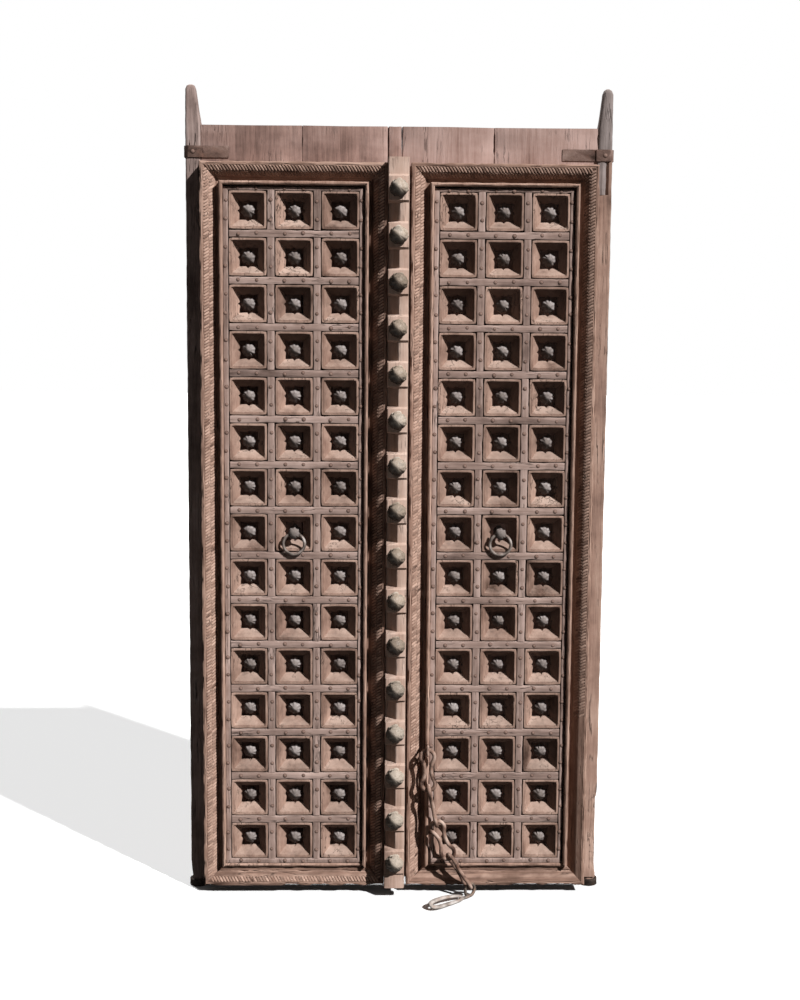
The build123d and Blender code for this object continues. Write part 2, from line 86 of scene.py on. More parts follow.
class Value:
    """A node's socket that takes part in sums; each sum adds its Math node."""

    def __init__(self, tree, socket):
        self.tree, self.socket = tree, socket

    def math(self, operation, first, second=0.0, clamp=False):
        node = self.tree.nodes.new("ShaderNodeMath")
        node.operation, node.use_clamp = operation, clamp
        for socket, value in zip(node.inputs, (first, second)):
            if isinstance(value, Value):
                self.tree.links.new(value.socket, socket)
            else:
                socket.default_value = value
        return Value(self.tree, node.outputs[0])

    def __add__(self, other):
        return self.math("ADD", self, other)

    def __sub__(self, other):
        return self.math("SUBTRACT", self, other)

    def __rsub__(self, other):
        return self.math("SUBTRACT", other, self)

    def __mul__(self, other):
        return self.math("MULTIPLY", self, other)

    def __truediv__(self, other):
        return self.math("DIVIDE", self, other)

    __radd__, __rmul__ = __add__, __mul__

    def size(self):
        """The same value without its sign."""
        return self.math("ABSOLUTE", self)

    def held(self):
        """The same value kept between 0 and 1."""
        return self.math("ADD", self, clamp=True)

    def over(self, low, high):
        """0 below the low value, 1 above the high one."""
        return ((self - low) / (high - low)).held()


class Nodes:
    """A node tree under way, and the one method that adds any node to it."""

    def __init__(self, tree):
        self.tree = tree
        tree.nodes.clear()

    def node(self, kind, settings=None, sockets=None, output=0):
        node = self.tree.nodes.new(kind)
        for key, value in (settings or {}).items():
            if key == "stops":
                elements = node.color_ramp.elements
                while len(elements) < len(value):
                    elements.new(0.5)
                for element, (position, colour) in zip(elements, value):
                    element.position, element.color = position, colour
            else:
                setattr(node, key, value)
        for key, value in (sockets or {}).items():
            if isinstance(value, Value):
                self.tree.links.new(value.socket, node.inputs[key])
            else:
                node.inputs[key].default_value = value
        return Value(self.tree, node.outputs[output]) if node.outputs else None


class Finish(Nodes):
    """A surface finish under way: its material and the nodes that make it up."""

    def __init__(self, name):
        self.material = bpy.data.materials.new(name)
        self.material.use_nodes = True
        super().__init__(self.material.node_tree)

    def attribute(self, name):
        return self.node("ShaderNodeAttribute", {"attribute_name": name}, output="Fac")

    def noise(self, place, scale, detail, roughness=0.55):
        sockets = {"Vector": place, "Scale": scale, "Detail": detail, "Roughness": roughness}
        return self.node("ShaderNodeTexNoise", None, sockets)

    def ramp(self, share, stops):
        return self.node("ShaderNodeValToRGB", {"stops": stops}, {"Fac": share})

    def mix(self, share, first, second):
        sockets = {0: share, 6: first, 7: second}
        return self.node("ShaderNodeMix", {"data_type": "RGBA"}, sockets, output=2)

    def vectors(self, operation, first, second, output=0):
        settings = {"operation": operation}
        return self.node("ShaderNodeVectorMath", settings, {0: first, 1: second}, output)

    def place(self, stretch, tone):
        """Object coordinates, moved apart by each piece's own tone, and stretched."""
        spot = self.node("ShaderNodeTexCoord", output="Object")
        apart = {axis: tone * step for axis, step in zip("XYZ", (3.1, 5.7, 9.3))}
        moved = self.vectors("ADD", spot, self.node("ShaderNodeCombineXYZ", None, apart))
        return self.vectors("MULTIPLY", moved, stretch)

    def turned(self, way):
        """How far a surface is turned the given way, 1 for straight along it."""
        normal = self.node("ShaderNodeTexCoord", output="Normal")
        return self.vectors("DOT_PRODUCT", normal, way, "Value")

    def turned_from_sun(self, start=0.3, fade=0.3, sun_way=(0.55, -0.35, 0.65)):
        """1 on faces turned down or to the left, away from the sun, and 0 on the others: where shade is painted.
        """
        return 1 - self.turned(sun_way).over(start - fade, start)

    def surface(self, colour, roughness, height, depth, metallic=0.0, gloss=0.06):
        """Join colour, roughness and relief in the shader, and end the material."""
        bump = self.node("ShaderNodeBump", None, {"Distance": depth, "Height": height})
        sockets = {"Base Color": colour, "Roughness": roughness, "Metallic": metallic}
        sockets |= {"Normal": bump, "Specular IOR Level": gloss}
        shader = self.node("ShaderNodeBsdfPrincipled", None, sockets)
        self.node("ShaderNodeOutputMaterial", None, {"Surface": shader})
        return self.material


def shade(rgb):
    """A colour as a screen shows it, 0 to 255, as the linear colour that a shader takes."""
    shares = (value / 255 for value in rgb)
    linear = (v / 12.92 if v <= 0.04045 else ((v + 0.055) / 1.055) ** 2.4 for v in shares)
    return (*linear, 1.0)


def old_wood(name, stretch, shades, dust=0.2, crack=1.0, painted_shade=0.3, streak=0.6):
    """Weathered teak: grain along the stretched axis, cracks, pale worn edges, dust, painted shade."""
    fibre_share, figure_share, patch_share, tone_share, least_light = 0.5, 0.3, 0.6, 0.45, 0.1
    bleached, crack_share, crack_reach = 0.7, 0.85, 0.016
    fibre_rise, figure_rise, broad_rise, crack_sink, relief = 0.35, 0.45, 0.4, 1.6, 0.0016
    smooth_part, fibre_part = 0.74, 0.2
    dust_shade, painted_shade_colour, crack_shade = (206, 190, 178), (40, 29, 25), (34, 25, 22)
    finish = Finish(name)
    dark, middle, pale = map(shade, shades)
    tone, wear = finish.attribute("tone"), finish.attribute("wear")
    grain = finish.place(stretch, tone)
    broad = finish.noise(grain, scale=26, detail=3)
    fibre = finish.noise(grain, scale=240, detail=5, roughness=0.7)
    figure = finish.noise(grain, scale=90, detail=2)
    patch = finish.noise(finish.place((1, 1, 1), tone), scale=9, detail=4, roughness=0.6)
    split = finish.noise(grain, scale=42, detail=4, roughness=0.65)
    gap = 1 - (split - 0.5).size().over(0, crack_reach)
    gap = gap * patch.over(0.5, 0.66) * crack
    light = (broad - 0.5) * streak + fibre * fibre_share + figure * figure_share
    light = light + (patch - 0.5) * patch_share + (tone - 0.5) * tone_share + least_light
    colour = finish.ramp(light.held(), [(0.16, dark), (0.5, middle), (0.86, pale)])
    colour = finish.mix((wear * patch.over(0.3, 0.6) * bleached).held(), colour, pale)
    settled = finish.turned(up).over(0.3, 0.9) * patch.over(0.25, 0.7) * dust
    colour = finish.mix(settled, colour, shade(dust_shade))
    # Painted shade: a dark colour laid on faces turned away from the sun.
    colour = finish.mix(finish.turned_from_sun() * painted_shade, colour, shade(painted_shade_colour))
    colour = finish.mix((gap * crack_share).held(), colour, shade(crack_shade))
    height = fibre * fibre_rise + figure * figure_rise + broad * broad_rise - gap * crack_sink
    return finish.surface(colour, (smooth_part + fibre * fibre_part).held(), height, relief)


class Shape:
    """A mesh under way, with the wear and the tone of each of its points."""

    def __init__(self):
        self.points, self.faces, self.wear, self.tone = [], [], [], []

    def loops(self, rings, tone=0.5, capped=(True, True)):
        """Join rings of equally many (spot, wear) pairs, in order, and close the two ends."""
        count, first = len(rings[0]), len(self.points)
        sides = [(index, (index + 1) % count) for index in range(count)]
        self.points += [tuple(spot) for ring in rings for spot, _ in ring]
        self.wear += [worn for ring in rings for _, worn in ring]
        for low in range(first, first + (len(rings) - 1) * count, count):
            self.faces += [(low + a, low + b, low + count + b, low + count + a) for a, b in sides]
        for row, closed in zip((0, len(rings) - 1), capped):
            if closed:
                low, middle = first + row * count, len(self.points)
                self.points.append(tuple(sum((spot for spot, _ in rings[row]), Vector()) / count))
                self.wear.append(rings[row][0][1])
                self.faces += [(low + a, low + b, middle) for a, b in sides]
        self.tone += [tone] * (len(self.points) - len(self.tone))

    def piece(self, name, material, sharp=38):
        """Make the mesh an object with its normals outwards."""
        mesh = bpy.data.meshes.new(name)
        mesh.from_pydata(self.points, [], self.faces)
        for key in ("wear", "tone"):
            values = mesh.attributes.new(key, "FLOAT", "POINT").data
            values.foreach_set("value", getattr(self, key))
        edit = bmesh.new()
        edit.from_mesh(mesh)
        bmesh.ops.recalc_face_normals(edit, faces=edit.faces)
        edit.to_mesh(mesh)
        edit.free()
        mesh.shade_smooth()
        mesh.set_sharp_from_angle(angle=radians(sharp))
        mesh.materials.append(material)
        piece = bpy.data.objects.new(name, mesh)
        scene.collection.objects.link(piece)
        return piece


def fit(piece, node):
    """Let a piece stand for its CAD node, which it hides, and move with its body."""
    bodies = frame["record"]["behaviour"]["bodies"]
    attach(piece, next(body for body, members in bodies.items() if node in members))
    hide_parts(node)


def part_way(value, low=0, high=1):
    """How far a value has come from the low one to the high one, kept between 0 and 1."""
    return min(1, max(0, (value - low) / (high - low)))


def uneven(spot, level, *waves):
    """A level that varies from spot to spot, by waves of a scale and a strength each."""
    for scale, strength in waves:
        level += strength * noise.noise(spot * scale)
    return level


def round_corners(corners, radius, steps=2):
    """Points of a closed outline with round corners, each with its way in, none at a hollow."""
    area = sum(a[0] * b[1] - a[1] * b[0] for a, b in zip(corners, corners[1:] + corners[:1]))
    most_of_side, none = 0.45, Vector((0, 0))
    points = []
    for index, corner in enumerate(corners):
        here = Vector(corner)
        before = Vector(corners[index - 1]) - here
        after = Vector(corners[(index + 1) % len(corners)]) - here
        reach = min(radius, before.length * most_of_side, after.length * most_of_side)
        first, last = here + before.normalized() * reach, here + after.normalized() * reach
        hollow = (after.x * before.y - after.y * before.x) * area <= 0
        way_in = none if hollow else before.normalized() + after.normalized()
        for share in (step / steps for step in range(steps + 1)):
            bend = first.lerp(here, share).lerp(here.lerp(last, share), share)
            points.append((bend, way_in))
        points.append((here + after / 2, none))
    return points


def worn_length(shape, start, ways, length, outline, wear, step, mitre=0, ragged=(0, 0), tone=None):
    """Add a length of timber: an outline run along it, mitred or not, its corners chipped."""
    along, across, out = ways
    rings, rubbed, tone_scale, tone_turn = [], 0.35, 37.3, 5.1
    if tone is None:
        tone = 0.5 + 0.5 * noise.noise(start * tone_scale + along * tone_turn)
    stations = max(2, int(length / step))
    for station in range(stations + 1):
        share = station / stations
        rings.append([])
        for point, way_in in outline:
            run = point.x * mitre + share * (length - point.x * (mitre + mitre))
            spot = start + along * run + across * point.x + out * point.y
            if station == 0:
                spot += along * ragged[0] * max(0, uneven(spot, *ragged_bites))
            if station == stations:
                spot -= along * ragged[1] * max(0, uneven(spot, *ragged_bites))
            chip = max(0, uneven(spot, *timber_chips))
            spot += (across * way_in.x + out * way_in.y) * wear * chip
            rings[-1].append((spot, min(1, rubbed + chip) if way_in.length else 0))
    shape.loops(rings, tone)


def rectangle(width, height):
    return [(0, 0), (width, 0), (width, height), (0, height)]


plank_finish = old_wood("plank_teak", (1, 1, 0.05), plank_shades, crack=0.6, streak=0.35)
for node, tone in plank_tones.items():
    low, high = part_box(node)
    lap = plank_laps.get(node, (0, 0))
    low, high = low - right * lap[0], high + right * lap[1]
    outline = round_corners(rectangle(high.x - low.x, high.y - low.y), plank_edge)
    shape = Shape()
    worn_length(shape, Vector((low.x, high.y, low.z)), (up, right, front), high.z - low.z, outline,
                plank_wear, plank_step, ragged=plank_ragged_ends, tone=tone)
    fit(shape.piece(node + "_worn", plank_finish), node)

# Pivot posts: hewn teak, each one piece with its round bottom pivot; the left one runs on into
# its top horn. The right one is cut off under its strap, rebated for the tail of a renewed top,
# and rotten along its lower outer edge.
post_shades = ((68, 51, 45), (156, 127, 113), (200, 172, 156))
left_post_shades = ((66, 54, 50), (150, 129, 122), (198, 180, 173))
post_squareness, post_step, post_points, post_wear = 7.0, 0.01, 32, 0.0016
post_chips = (0.5, (19, 0.5), (60, 0.35))
post_finish = old_wood("post_teak", (1, 1, 0.04), post_shades, crack=1.3)
left_post_finish = old_wood("left_post_teak", (1, 1, 0.04), left_post_shades, crack=1.3)
leaf_bottom, plank_top = (corner.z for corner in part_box("left_outer_plank"))
horn_tip_width, horn_tip_half_depth, pivot_radius = 0.029, 0.017, 0.018
shoulder, shoulder_trim, left_foot_trim, left_foot_rise = 0.001, 0.002, 0.004, 0.05


def round_steps(count, offset=0.0):
    """The angles of equal steps once round."""
    return [tau * (index + offset) / count for index in range(count)]


def hewn_post(keys, tone=0.4, spoil=None):
    """An upright of rounded section; keys are (level, left, right, half depth, squareness)."""
    corner_share, corner_wear, face_wear = 0.7, 0.8, 0.2
    shape, rings = Shape(), []
    for key, after in zip(keys, keys[1:]):
        stations = max(1, int((after[0] - key[0]) / post_step))
        last = 1 if after is keys[-1] else 0
        for share in (station / stations for station in range(stations + last)):
            level, x_low, x_high, half, square = (a + (b - a) * share for a, b in zip(key, after))
            middle, width = (x_low + x_high) / 2, (x_high - x_low) / 2
            rings.append([])
            for angle in round_steps(post_points, 0.5):
                circle = (cos(angle), sin(angle))
                x, y = (abs(v) ** (2 / square) * (1 if v > 0 else -1) for v in circle)
                spot = Vector((middle + x * width, y * half, level))
                chip = uneven(spot, *post_chips)
                spot -= Vector((x, y, 0)) * post_wear * max(0, chip)
                wear = corner_wear if abs(x * y) > corner_share else face_wear
                rings[-1].append((spoil(spot) if spoil else spot, part_way(chip) * wear))
    shape.loops(rings, tone)
    return shape


def round_pivot(low, high):
    """The keys of a post's round bottom pivot, up to the foot of the leaf."""
    middle = (low.x + high.x) / 2
    section = (middle - pivot_radius, middle + pivot_radius, pivot_radius, 2)
    return [(low.z, *section), (leaf_bottom, *section)]


def horn_tip(left, top, trims):
    """The keys of a horn's rounded tip; trims are (below the top, off each side, squareness)."""
    end, half = left + horn_tip_width, horn_tip_half_depth
    return [(top - drop, left + off, end - off, half - off, square) for drop, off, square in trims]


low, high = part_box("left_pivot_post")
half_depth = high.y
section = (low.x, high.x, half_depth, post_squareness)
foot = (low.x + left_foot_trim, high.x - shoulder_trim, half_depth - shoulder_trim, post_squareness)
left_tip = ((0.012, 0, 4), (0.003, 0.003, 3.4), (0, 0.008, 2.6))
shape = hewn_post([
    *round_pivot(low, high),
    (leaf_bottom + shoulder, *foot),
    (leaf_bottom + left_foot_rise, *section),
    (plank_top, *section),
    *horn_tip(low.x, high.z, left_tip),
])
fit(shape.piece("left_pivot_post_hewn", left_post_finish), "left_pivot_post")

rot_low, rot_high, rot_depth, rot_front = leaf_bottom + 0.02, 0.27, 0.015, 0.006
rot_run_in, rot_run_out, rot_at_foot, rot_bites = 0.02, 0.05, 0.5, (0.65, (55, 0.6))
tail_low, tail_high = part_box("right_top_pivot")
post_low, post_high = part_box("right_pivot_post")
post_middle = (post_low.x + post_high.x) / 2
tail_width, tail_depth, tail_play, tail_step = 0.027, 0.022, 0.001, 0.0015
tail_floor, rebate_edge = tail_depth - half_depth, post_low.x + tail_width + tail_play


def rotten_foot(spot):
    """Eat away the outer front edge near the foot, and leave a rebate for the tail above."""
    if spot.x > post_middle and spot.y < rot_front and rot_low < spot.z < rot_high:
        above, below = (rot_high - spot.z) / rot_run_out, (spot.z - rot_low) / rot_run_in
        bite = rot_depth * min(1, above, below + rot_at_foot) * max(0, uneven(spot, *rot_bites))
        spot = spot + Vector((-bite, bite / 2, 0))
    if spot.z > tail_low.z - tail_play and spot.x < rebate_edge:
        spot = Vector((spot.x, max(spot.y, tail_floor), spot.z))
    return spot


section = (post_low.x, post_high.x, half_depth, post_squareness)
foot = (post_low.x + shoulder, post_high.x - shoulder_trim, half_depth - shoulder_trim,
        post_squareness)
shape = hewn_post([
    *round_pivot(post_low, post_high),
    (leaf_bottom + shoulder, *foot),
    (tail_low.z - tail_step, *section),
    (tail_low.z, *section),
    (post_high.z, *section),
], tone=0.58, spoil=rotten_foot)
fit(shape.piece("right_pivot_post_hewn", post_finish), "right_pivot_post")

# Right top pivot: a newer, greyer and rounder horn on the right post. It is hewn from one piece
# of teak with a tail that is let into the front of the post.
horn_shades = ((58, 51, 48), (136, 124, 120), (172, 159, 156))
horn_finish = old_wood("horn_teak", (1, 1, 0.05), horn_shades)
horn_trim, horn_foot_squareness, horn_squareness = 0.002, 5, 4
tail_edge, tail_wear = 0.009, 0.002
right_tip = ((0.014, 0, 3), (0.004, 0.004, 2.6), (0, 0.01, 2.2))
shape = hewn_post([
    (post_high.z, post_low.x, post_high.x, half_depth, horn_foot_squareness),
    (plank_top, post_low.x + horn_trim, post_high.x, half_depth, horn_squareness),
    *horn_tip(post_high.x - horn_tip_width, tail_high.z, right_tip),
])
outline = round_corners(rectangle(tail_width, tail_depth), tail_edge)
worn_length(shape, Vector((post_low.x, tail_floor, tail_low.z)), (up, right, front),
            post_high.z - tail_low.z, outline, tail_wear, post_step)
fit(shape.piece("right_top_pivot_hewn", horn_finish), "right_top_pivot")

# Carved borders: four mitred teak mouldings round each leaf's panel. A plain outer fillet, a band
# of slanted ticks, a steeper slope with the ticks' fine ends, and a sunk channel. The ticks are
# rubbed away low on the right leaf.
carved_shades = ((70, 51, 43), (150, 119, 104), (200, 168, 151))
border_depth, border_edge, border_wear, foot_wear = 0.060, 0.002, 0.003, 0.006
fillet_width, tick_width, slope_width, channel_width = 0.0095, 0.0145, 0.0150, 0.0105
fillet_step, tick_sink, tick_fall, slope_fall = 0.0005, 0.0015, 0.0055, 0.0190
channel_floor, foot_floor, foot_fall = 0.030, 0.0465, 0.006
foot_tone, painted_shadow_tone, moulding_step = 0.3, 0.08, 0.009
slope_start = fillet_width + tick_width
channel_start = slope_start + slope_width
border_width = channel_start + channel_width
tick_level = border_depth - tick_sink
slope_level = tick_level - tick_fall
tick_pitch, slope_tick_share = 0.0082, 0.42
tooth_rows = (
    (fillet_width + tick_width / 2, 0.0150, 0.0022, tick_sink + tick_fall / 2,
     atan2(tick_fall, tick_width)),
    (slope_start + slope_width * slope_tick_share, 0.0200, 0.0013,
     tick_sink + tick_fall + slope_fall * slope_tick_share, atan2(slope_fall, slope_width)),
)
tick_rub, least_tick, upright_rub, left_foot_rub = (0.78, (11, 0.55), (60, 0.3)), 0.12, 0.75, 0.6
worn_away, worn_thin, thin_share = (0.46, 0.58), (0.9, 1.5), 0.4
# The carved mouldings carry painted shade on their faces turned away from the sun.
upright_wood = old_wood("carved_teak_upright", (1, 1, 0.07), carved_shades, dust=0.05, painted_shade=0.45)
level_wood = old_wood("carved_teak_level", (0.07, 1, 1), carved_shades, dust=0.05, painted_shade=0.45)
plank_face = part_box("left_outer_plank")[0].y
tooth_sides, slant, tooth_half_length, tooth_half_width = 10, -1.05, 0.53, 0.44


def panel_sides(leaf, inset):
    """Place, start, ways and length of the four sides of a leaf's panel, this far in."""
    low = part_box(f"{leaf}_border_bottom")[0] + Vector((inset, 0, inset))
    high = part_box(f"{leaf}_border_top")[1] - Vector((inset, 0, inset))
    wings = ("inner", "outer") if leaf == "right" else ("outer", "inner")
    corners = [(low.x, low.z), (high.x, low.z), (high.x, high.z), (low.x, high.z)]
    for index, place in enumerate(("bottom", wings[1], "top", wings[0])):
        (x, z), (next_x, next_z) = corners[index], corners[(index + 1) % 4]
        run = Vector((next_x - x, 0, next_z - z))
        along = run.normalized()
        inward = along.cross(Vector((0, 1, 0)))
        yield place, Vector((x, plank_face, z)), (along, inward, front), run.length


def set_out_tree():
    """A node tree that puts a shape on each point, turned and sized as the point says."""
    tree = bpy.data.node_groups.new("Set out on points", "GeometryNodeTree")
    given = {"Points": "Geometry", "Shape": "Object", "Finish": "Material", "Unevenness": "Float"}
    for name, kind in given.items():
        tree.interface.new_socket(name, in_out="INPUT", socket_type="NodeSocket" + kind)
    tree.interface.new_socket("Pieces", in_out="OUTPUT", socket_type="NodeSocketGeometry")
    add = Nodes(tree).node
    points, shape, finish, unevenness = (add("NodeGroupInput", output=name) for name in given)
    vector = {"data_type": "FLOAT_VECTOR"}
    turn, size = (add("GeometryNodeInputNamedAttribute", vector, {"Name": name}, "Attribute")
                  for name in ("turn", "size"))
    either_way = {2: -1.0, 3: 1.0, "Seed": 11}
    spread = add("FunctionNodeRandomValue", {"data_type": "FLOAT"}, either_way, 1)
    scaled = add("ShaderNodeVectorMath", {"operation": "SCALE"},
                 {0: size, "Scale": unevenness * spread + 1.0})
    copied = add("GeometryNodeObjectInfo", {"transform_space": "ORIGINAL"},
                 {"Object": shape, "As Instance": True}, "Geometry")
    put = add("GeometryNodeInstanceOnPoints", None,
              {"Points": points, "Instance": copied, "Rotation": turn, "Scale": scaled})
    real = add("GeometryNodeRealizeInstances", None, {"Geometry": put})
    dressed = add("GeometryNodeSetMaterial", None, {"Geometry": real, "Material": finish})
    add("NodeGroupOutput", None, {"Pieces": dressed})
    return tree


set_out_nodes = set_out_tree()


def set_out(name, copied, places, material, unevenness=0.06):
    """Put a copied shape on many places, each (spot, turn, size), as one plain mesh."""
    chance = random.Random(name)
    spots, turns, sizes = zip(*places)
    mesh = bpy.data.meshes.new(name)
    mesh.from_pydata(list(spots), [], [])
    for key, values in (("turn", turns), ("size", sizes)):
        flat = [number for value in values for number in value]
        mesh.attributes.new(key, "FLOAT_VECTOR", "POINT").data.foreach_set("vector", flat)
    tones = [chance.random() for _ in places]
    mesh.attributes.new("tone", "FLOAT", "POINT").data.foreach_set("value", tones)
    piece = bpy.data.objects.new(name, mesh)
    scene.collection.objects.link(piece)
    modifier = piece.modifiers.new("Set out", "NODES")
    modifier.node_group = set_out_nodes
    given = {"Shape": copied, "Finish": material, "Unevenness": unevenness}
    for socket in set_out_nodes.interface.items_tree:
        if socket.name in given:
            modifier[socket.identifier] = given[socket.name]
    graph = bpy.context.evaluated_depsgraph_get()
    piece.data = bpy.data.meshes.new_from_object(
        piece.evaluated_get(graph), preserve_all_data_layers=True, depsgraph=graph)
    piece.modifiers.remove(modifier)
    return piece


def add_to_leaf(piece, leaf):
    """Let a piece that stands for no CAD node move with its leaf."""
    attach(piece, f"{leaf}_leaf")


def template(shape, name, sharp):
    """A shape that is only copied: kept out of the scene, with no tone of its own."""
    piece = shape.piece(name, None, sharp)
    piece.data.attributes.remove(piece.data.attributes["tone"])
    scene.collection.objects.unlink(piece)
    return piece


def facing(along, inward):
    """The turn that lays a template's X along a run, its Y inwards and its Z out of the door."""
    return tuple(Matrix((along, inward, along.cross(inward))).transposed().to_euler())


def slanted_tooth():
    """One slanted tooth, a unit long, wide and high, about the middle of its foot."""
    taper, stretch, flat_end = 0.35, 1.15, 0.94
    shape, rings = Shape(), []
    for scale, height, worn in ((1.0, -0.3, 0), (0.98, 0.2, 0), (0.80, 0.8, 0.6), (0.45, 1.0, 1)):
        rings.append([])
        for angle in round_steps(tooth_sides, 0.5):
            end = max(-flat_end, min(flat_end, stretch * sin(angle)))
            across = tooth_half_length * (1 - taper * (1 - scale)) * end
            along = tooth_half_width * scale * cos(angle) + slant * across
            rings[-1].append((Vector((along, across, height)), worn))
    shape.loops(rings, capped=(False, True))
    return template(shape, "rope_tooth", sharp=80)


def tick_left(spot, leaf, place):
    """How much of a tick is left at this spot of a border, 1 for all of it."""
    rubbed = uneven(spot, *tick_rub)
    if leaf == "right" and place != "inner":
        rubbed *= part_way(spot.z, *worn_away)
    if leaf == "right" and place == "inner":
        rubbed *= thin_share + (1 - thin_share) * part_way(spot.z, *worn_thin)
    if leaf == "left" and place == "bottom":
        rubbed *= left_foot_rub
    return rubbed * (upright_rub if place in ("inner", "outer") else 1)


tooth = slanted_tooth()
for leaf in leaves:
    teeth = {"upright": [], "level": []}
    woods = {"upright": upright_wood, "level": level_wood}
    for place, start, ways, length in panel_sides(leaf, 0):
        along, inward, _ = ways
        at_foot = place == "bottom"
        floor_level, fall = (foot_floor, foot_fall) if at_foot else (channel_floor, slope_fall)
        corners = [
            (0, 0), (0, border_depth), (fillet_width, border_depth),
            (fillet_width + fillet_step, tick_level), (slope_start, slope_level),
            (channel_start, slope_level - fall), (channel_start, floor_level),
            (border_width, floor_level), (border_width, 0),
        ]
        wear, tone = (foot_wear, foot_tone) if at_foot else (border_wear, None)
        # The left leaf's inner border is coloured darker as a painted shadow, where the cover strip's shadow
        # falls.
        if (leaf, place) == ("left", "inner"):
            tone = painted_shadow_tone
        shape = Shape()
        outline = round_corners(corners, border_edge)
        worn_length(shape, start, ways, length, outline, wear, moulding_step, 1, tone=tone)
        kind = "level" if place in ("top", "bottom") else "upright"
        node = f"{leaf}_border_{place}"
        fit(shape.piece(node + "_carved", woods[kind]), node)
        for offset, width, height, sink, tilt in tooth_rows:
            turn = facing(along, inward * cos(tilt) - front * sin(tilt))
            count = int((length - 2 * offset) / tick_pitch)
            for index in range(count):
                run = offset + (index + 0.5) * (length - 2 * offset) / count
                spot = start + along * run + inward * offset + front * (border_depth - sink)
                left = tick_left(spot, leaf, place)
                if left > least_tick:
                    teeth[kind].append((spot, turn, (tick_pitch, width, height * min(1, left))))
    for kind, places in teeth.items():
        piece = set_out(f"{leaf}_{kind}_teeth", tooth, places, woods[kind])
        add_to_leaf(piece, leaf)

# Ridge mouldings and edge battens: a rounded bead of teak mitred round the inside of each border,
# and plain battens inside it that close the lattice. Both are nailed to the planks.
lattice_shades = ((72, 57, 51), (152, 128, 118), (198, 173, 163))
lattice_upright = old_wood("lattice_teak_upright", (1, 1, 0.07), lattice_shades)
lattice_level = old_wood("lattice_teak_level", (0.07, 1, 1), lattice_shades)
ridge_width, ridge_depth, foot_ridge_depth = 0.0105, 0.064, 0.0545
ridge_edge, ridge_wear = 0.0042, 0.0018
batten_width, batten_face, lattice_depth = 0.016, 0.0136, 0.052
batten_edge, batten_wear = 0.0018, 0.0016
groove_width, groove_floor = 0.0045, 0.034
for leaf in leaves:
    ridge, battens = Shape(), Shape()
    foot_bead, bead = (round_corners(rectangle(ridge_width, depth), ridge_edge, 3)
                       for depth in (foot_ridge_depth, ridge_depth))
    plain = round_corners(rectangle(batten_face, lattice_depth), batten_edge)
    corners = [(0, 0), (batten_face, 0), (batten_face, lattice_depth)]
    corners += [(groove_width, lattice_depth), (groove_width, groove_floor), (0, groove_floor)]
    grooved = round_corners(corners, batten_edge)
    shrunk_away = ("top", "inner" if leaf == "left" else "outer")
    for place, start, ways, length in panel_sides(leaf, border_width):
        outline = foot_bead if place == "bottom" else bead
        worn_length(ridge, start, ways, length, outline, ridge_wear, moulding_step, 1)
    for place, start, ways, length in panel_sides(leaf, border_width + ridge_width):
        outline = grooved if place in shrunk_away else plain
        worn_length(battens, start, ways, length, outline, batten_wear, moulding_step, 1)
    piece = ridge.piece(f"{leaf}_ridge_bead", upright_wood)
    fit(piece, f"{leaf}_ridge_moulding")
    piece = battens.piece(f"{leaf}_battens_worn", lattice_upright)
    fit(piece, f"{leaf}_lattice_battens")

# Lattice: level teak bars from batten to batten, and short uprights between them. They are sawn
# square, nailed to the planks, shrunk a little from their first width and rubbed at the edges.
coffer_pitch, bar_width, bar_face, bar_edge = 0.1205, 0.0255, 0.0195, 0.0016
bar_inset = (bar_width - bar_face) / 2
coffer_rows, coffer_columns = 15, 3
bar_wear, bar_step = 0.0022, 0.008
for leaf in leaves:
    rails, uprights = Shape(), Shape()
    outline = round_corners(rectangle(bar_face, lattice_depth), bar_edge)
    low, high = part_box(f"{leaf}_lattice_rails")
    for index in range(coffer_rows - 1):
        start = Vector((low.x, plank_face, low.z + bar_inset + index * coffer_pitch))
        worn_length(rails, start, (right, up, front), high.x - low.x, outline, bar_wear, bar_step)
    low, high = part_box(f"{leaf}_lattice_uprights")
    foot = Vector((low.x + bar_inset, plank_face, low.z - bar_inset))
    for column in range(coffer_columns - 1):
        for row in range(coffer_rows):
            start = foot + Vector((column * coffer_pitch, 0, row * coffer_pitch))
            length = coffer_pitch - bar_face
            worn_length(uprights, start, (up, right, front), length, outline, bar_wear, bar_step)
    piece = rails.piece(f"{leaf}_rails_worn", lattice_level)
    fit(piece, f"{leaf}_lattice_rails")
    piece = uprights.piece(f"{leaf}_uprights_worn", lattice_upright)
    fit(piece, f"{leaf}_lattice_uprights")

# Coffers: bevelled linings of four mitred teak boards in every opening of the lattice. Their
# inner edges are cut into two petals a side, so that eight petals stand round each knob.
coffer_shades = ((56, 41, 34), (132, 104, 91), (190, 159, 143))
coffer_half, coffer_lip, coffer_depth, coffer_back = 0.0490, 0.0056, 0.0505, 0.002
lip_edge, lip_slope, mouth_drop, mouth_step, mouth_fall = 0.001, 0.0005, 0.0028, 0.0018, 0.0031
petal_reach, petal_notch, bevel_depth = 0.0275, 0.0052, 0.035
petal_edge, petal_drop, undercut = 0.0016, 0.0014, 0.0012
edge_notch, back_notch = 0.9 * petal_notch, 0.8 * petal_notch
ring_row, ring_column = 7, 1
around, petals, corner_softness, petal_softness, petal_roundness = 48, 8, 24, 5, 0.7
board_rub, petal_rub, rub_scale, coffer_tones = 0.0006, 0.0016, 60, (0.5, (31, 0.5))
# The coffer linings carry strong painted shade: their top and right bevels are coloured darker.
coffer_wood = old_wood("coffer_teak", (1, 1, 0.25), coffer_shades, dust=0.35, painted_shade=0.65)


def squared(angle, softness):
    """How far a soft-cornered square of half width 1 reaches at an angle."""
    return 1 / (abs(cos(angle)) ** softness + abs(sin(angle)) ** softness) ** (1 / softness)


def square_ring(half, depth):
    """A square ring of points with nearly sharp corners, this far off the planks."""
    ring = []
    for angle in round_steps(around):
        reach = half * squared(angle, corner_softness)
        ring.append(Vector((reach * cos(angle), -depth, reach * sin(angle))))
    return ring


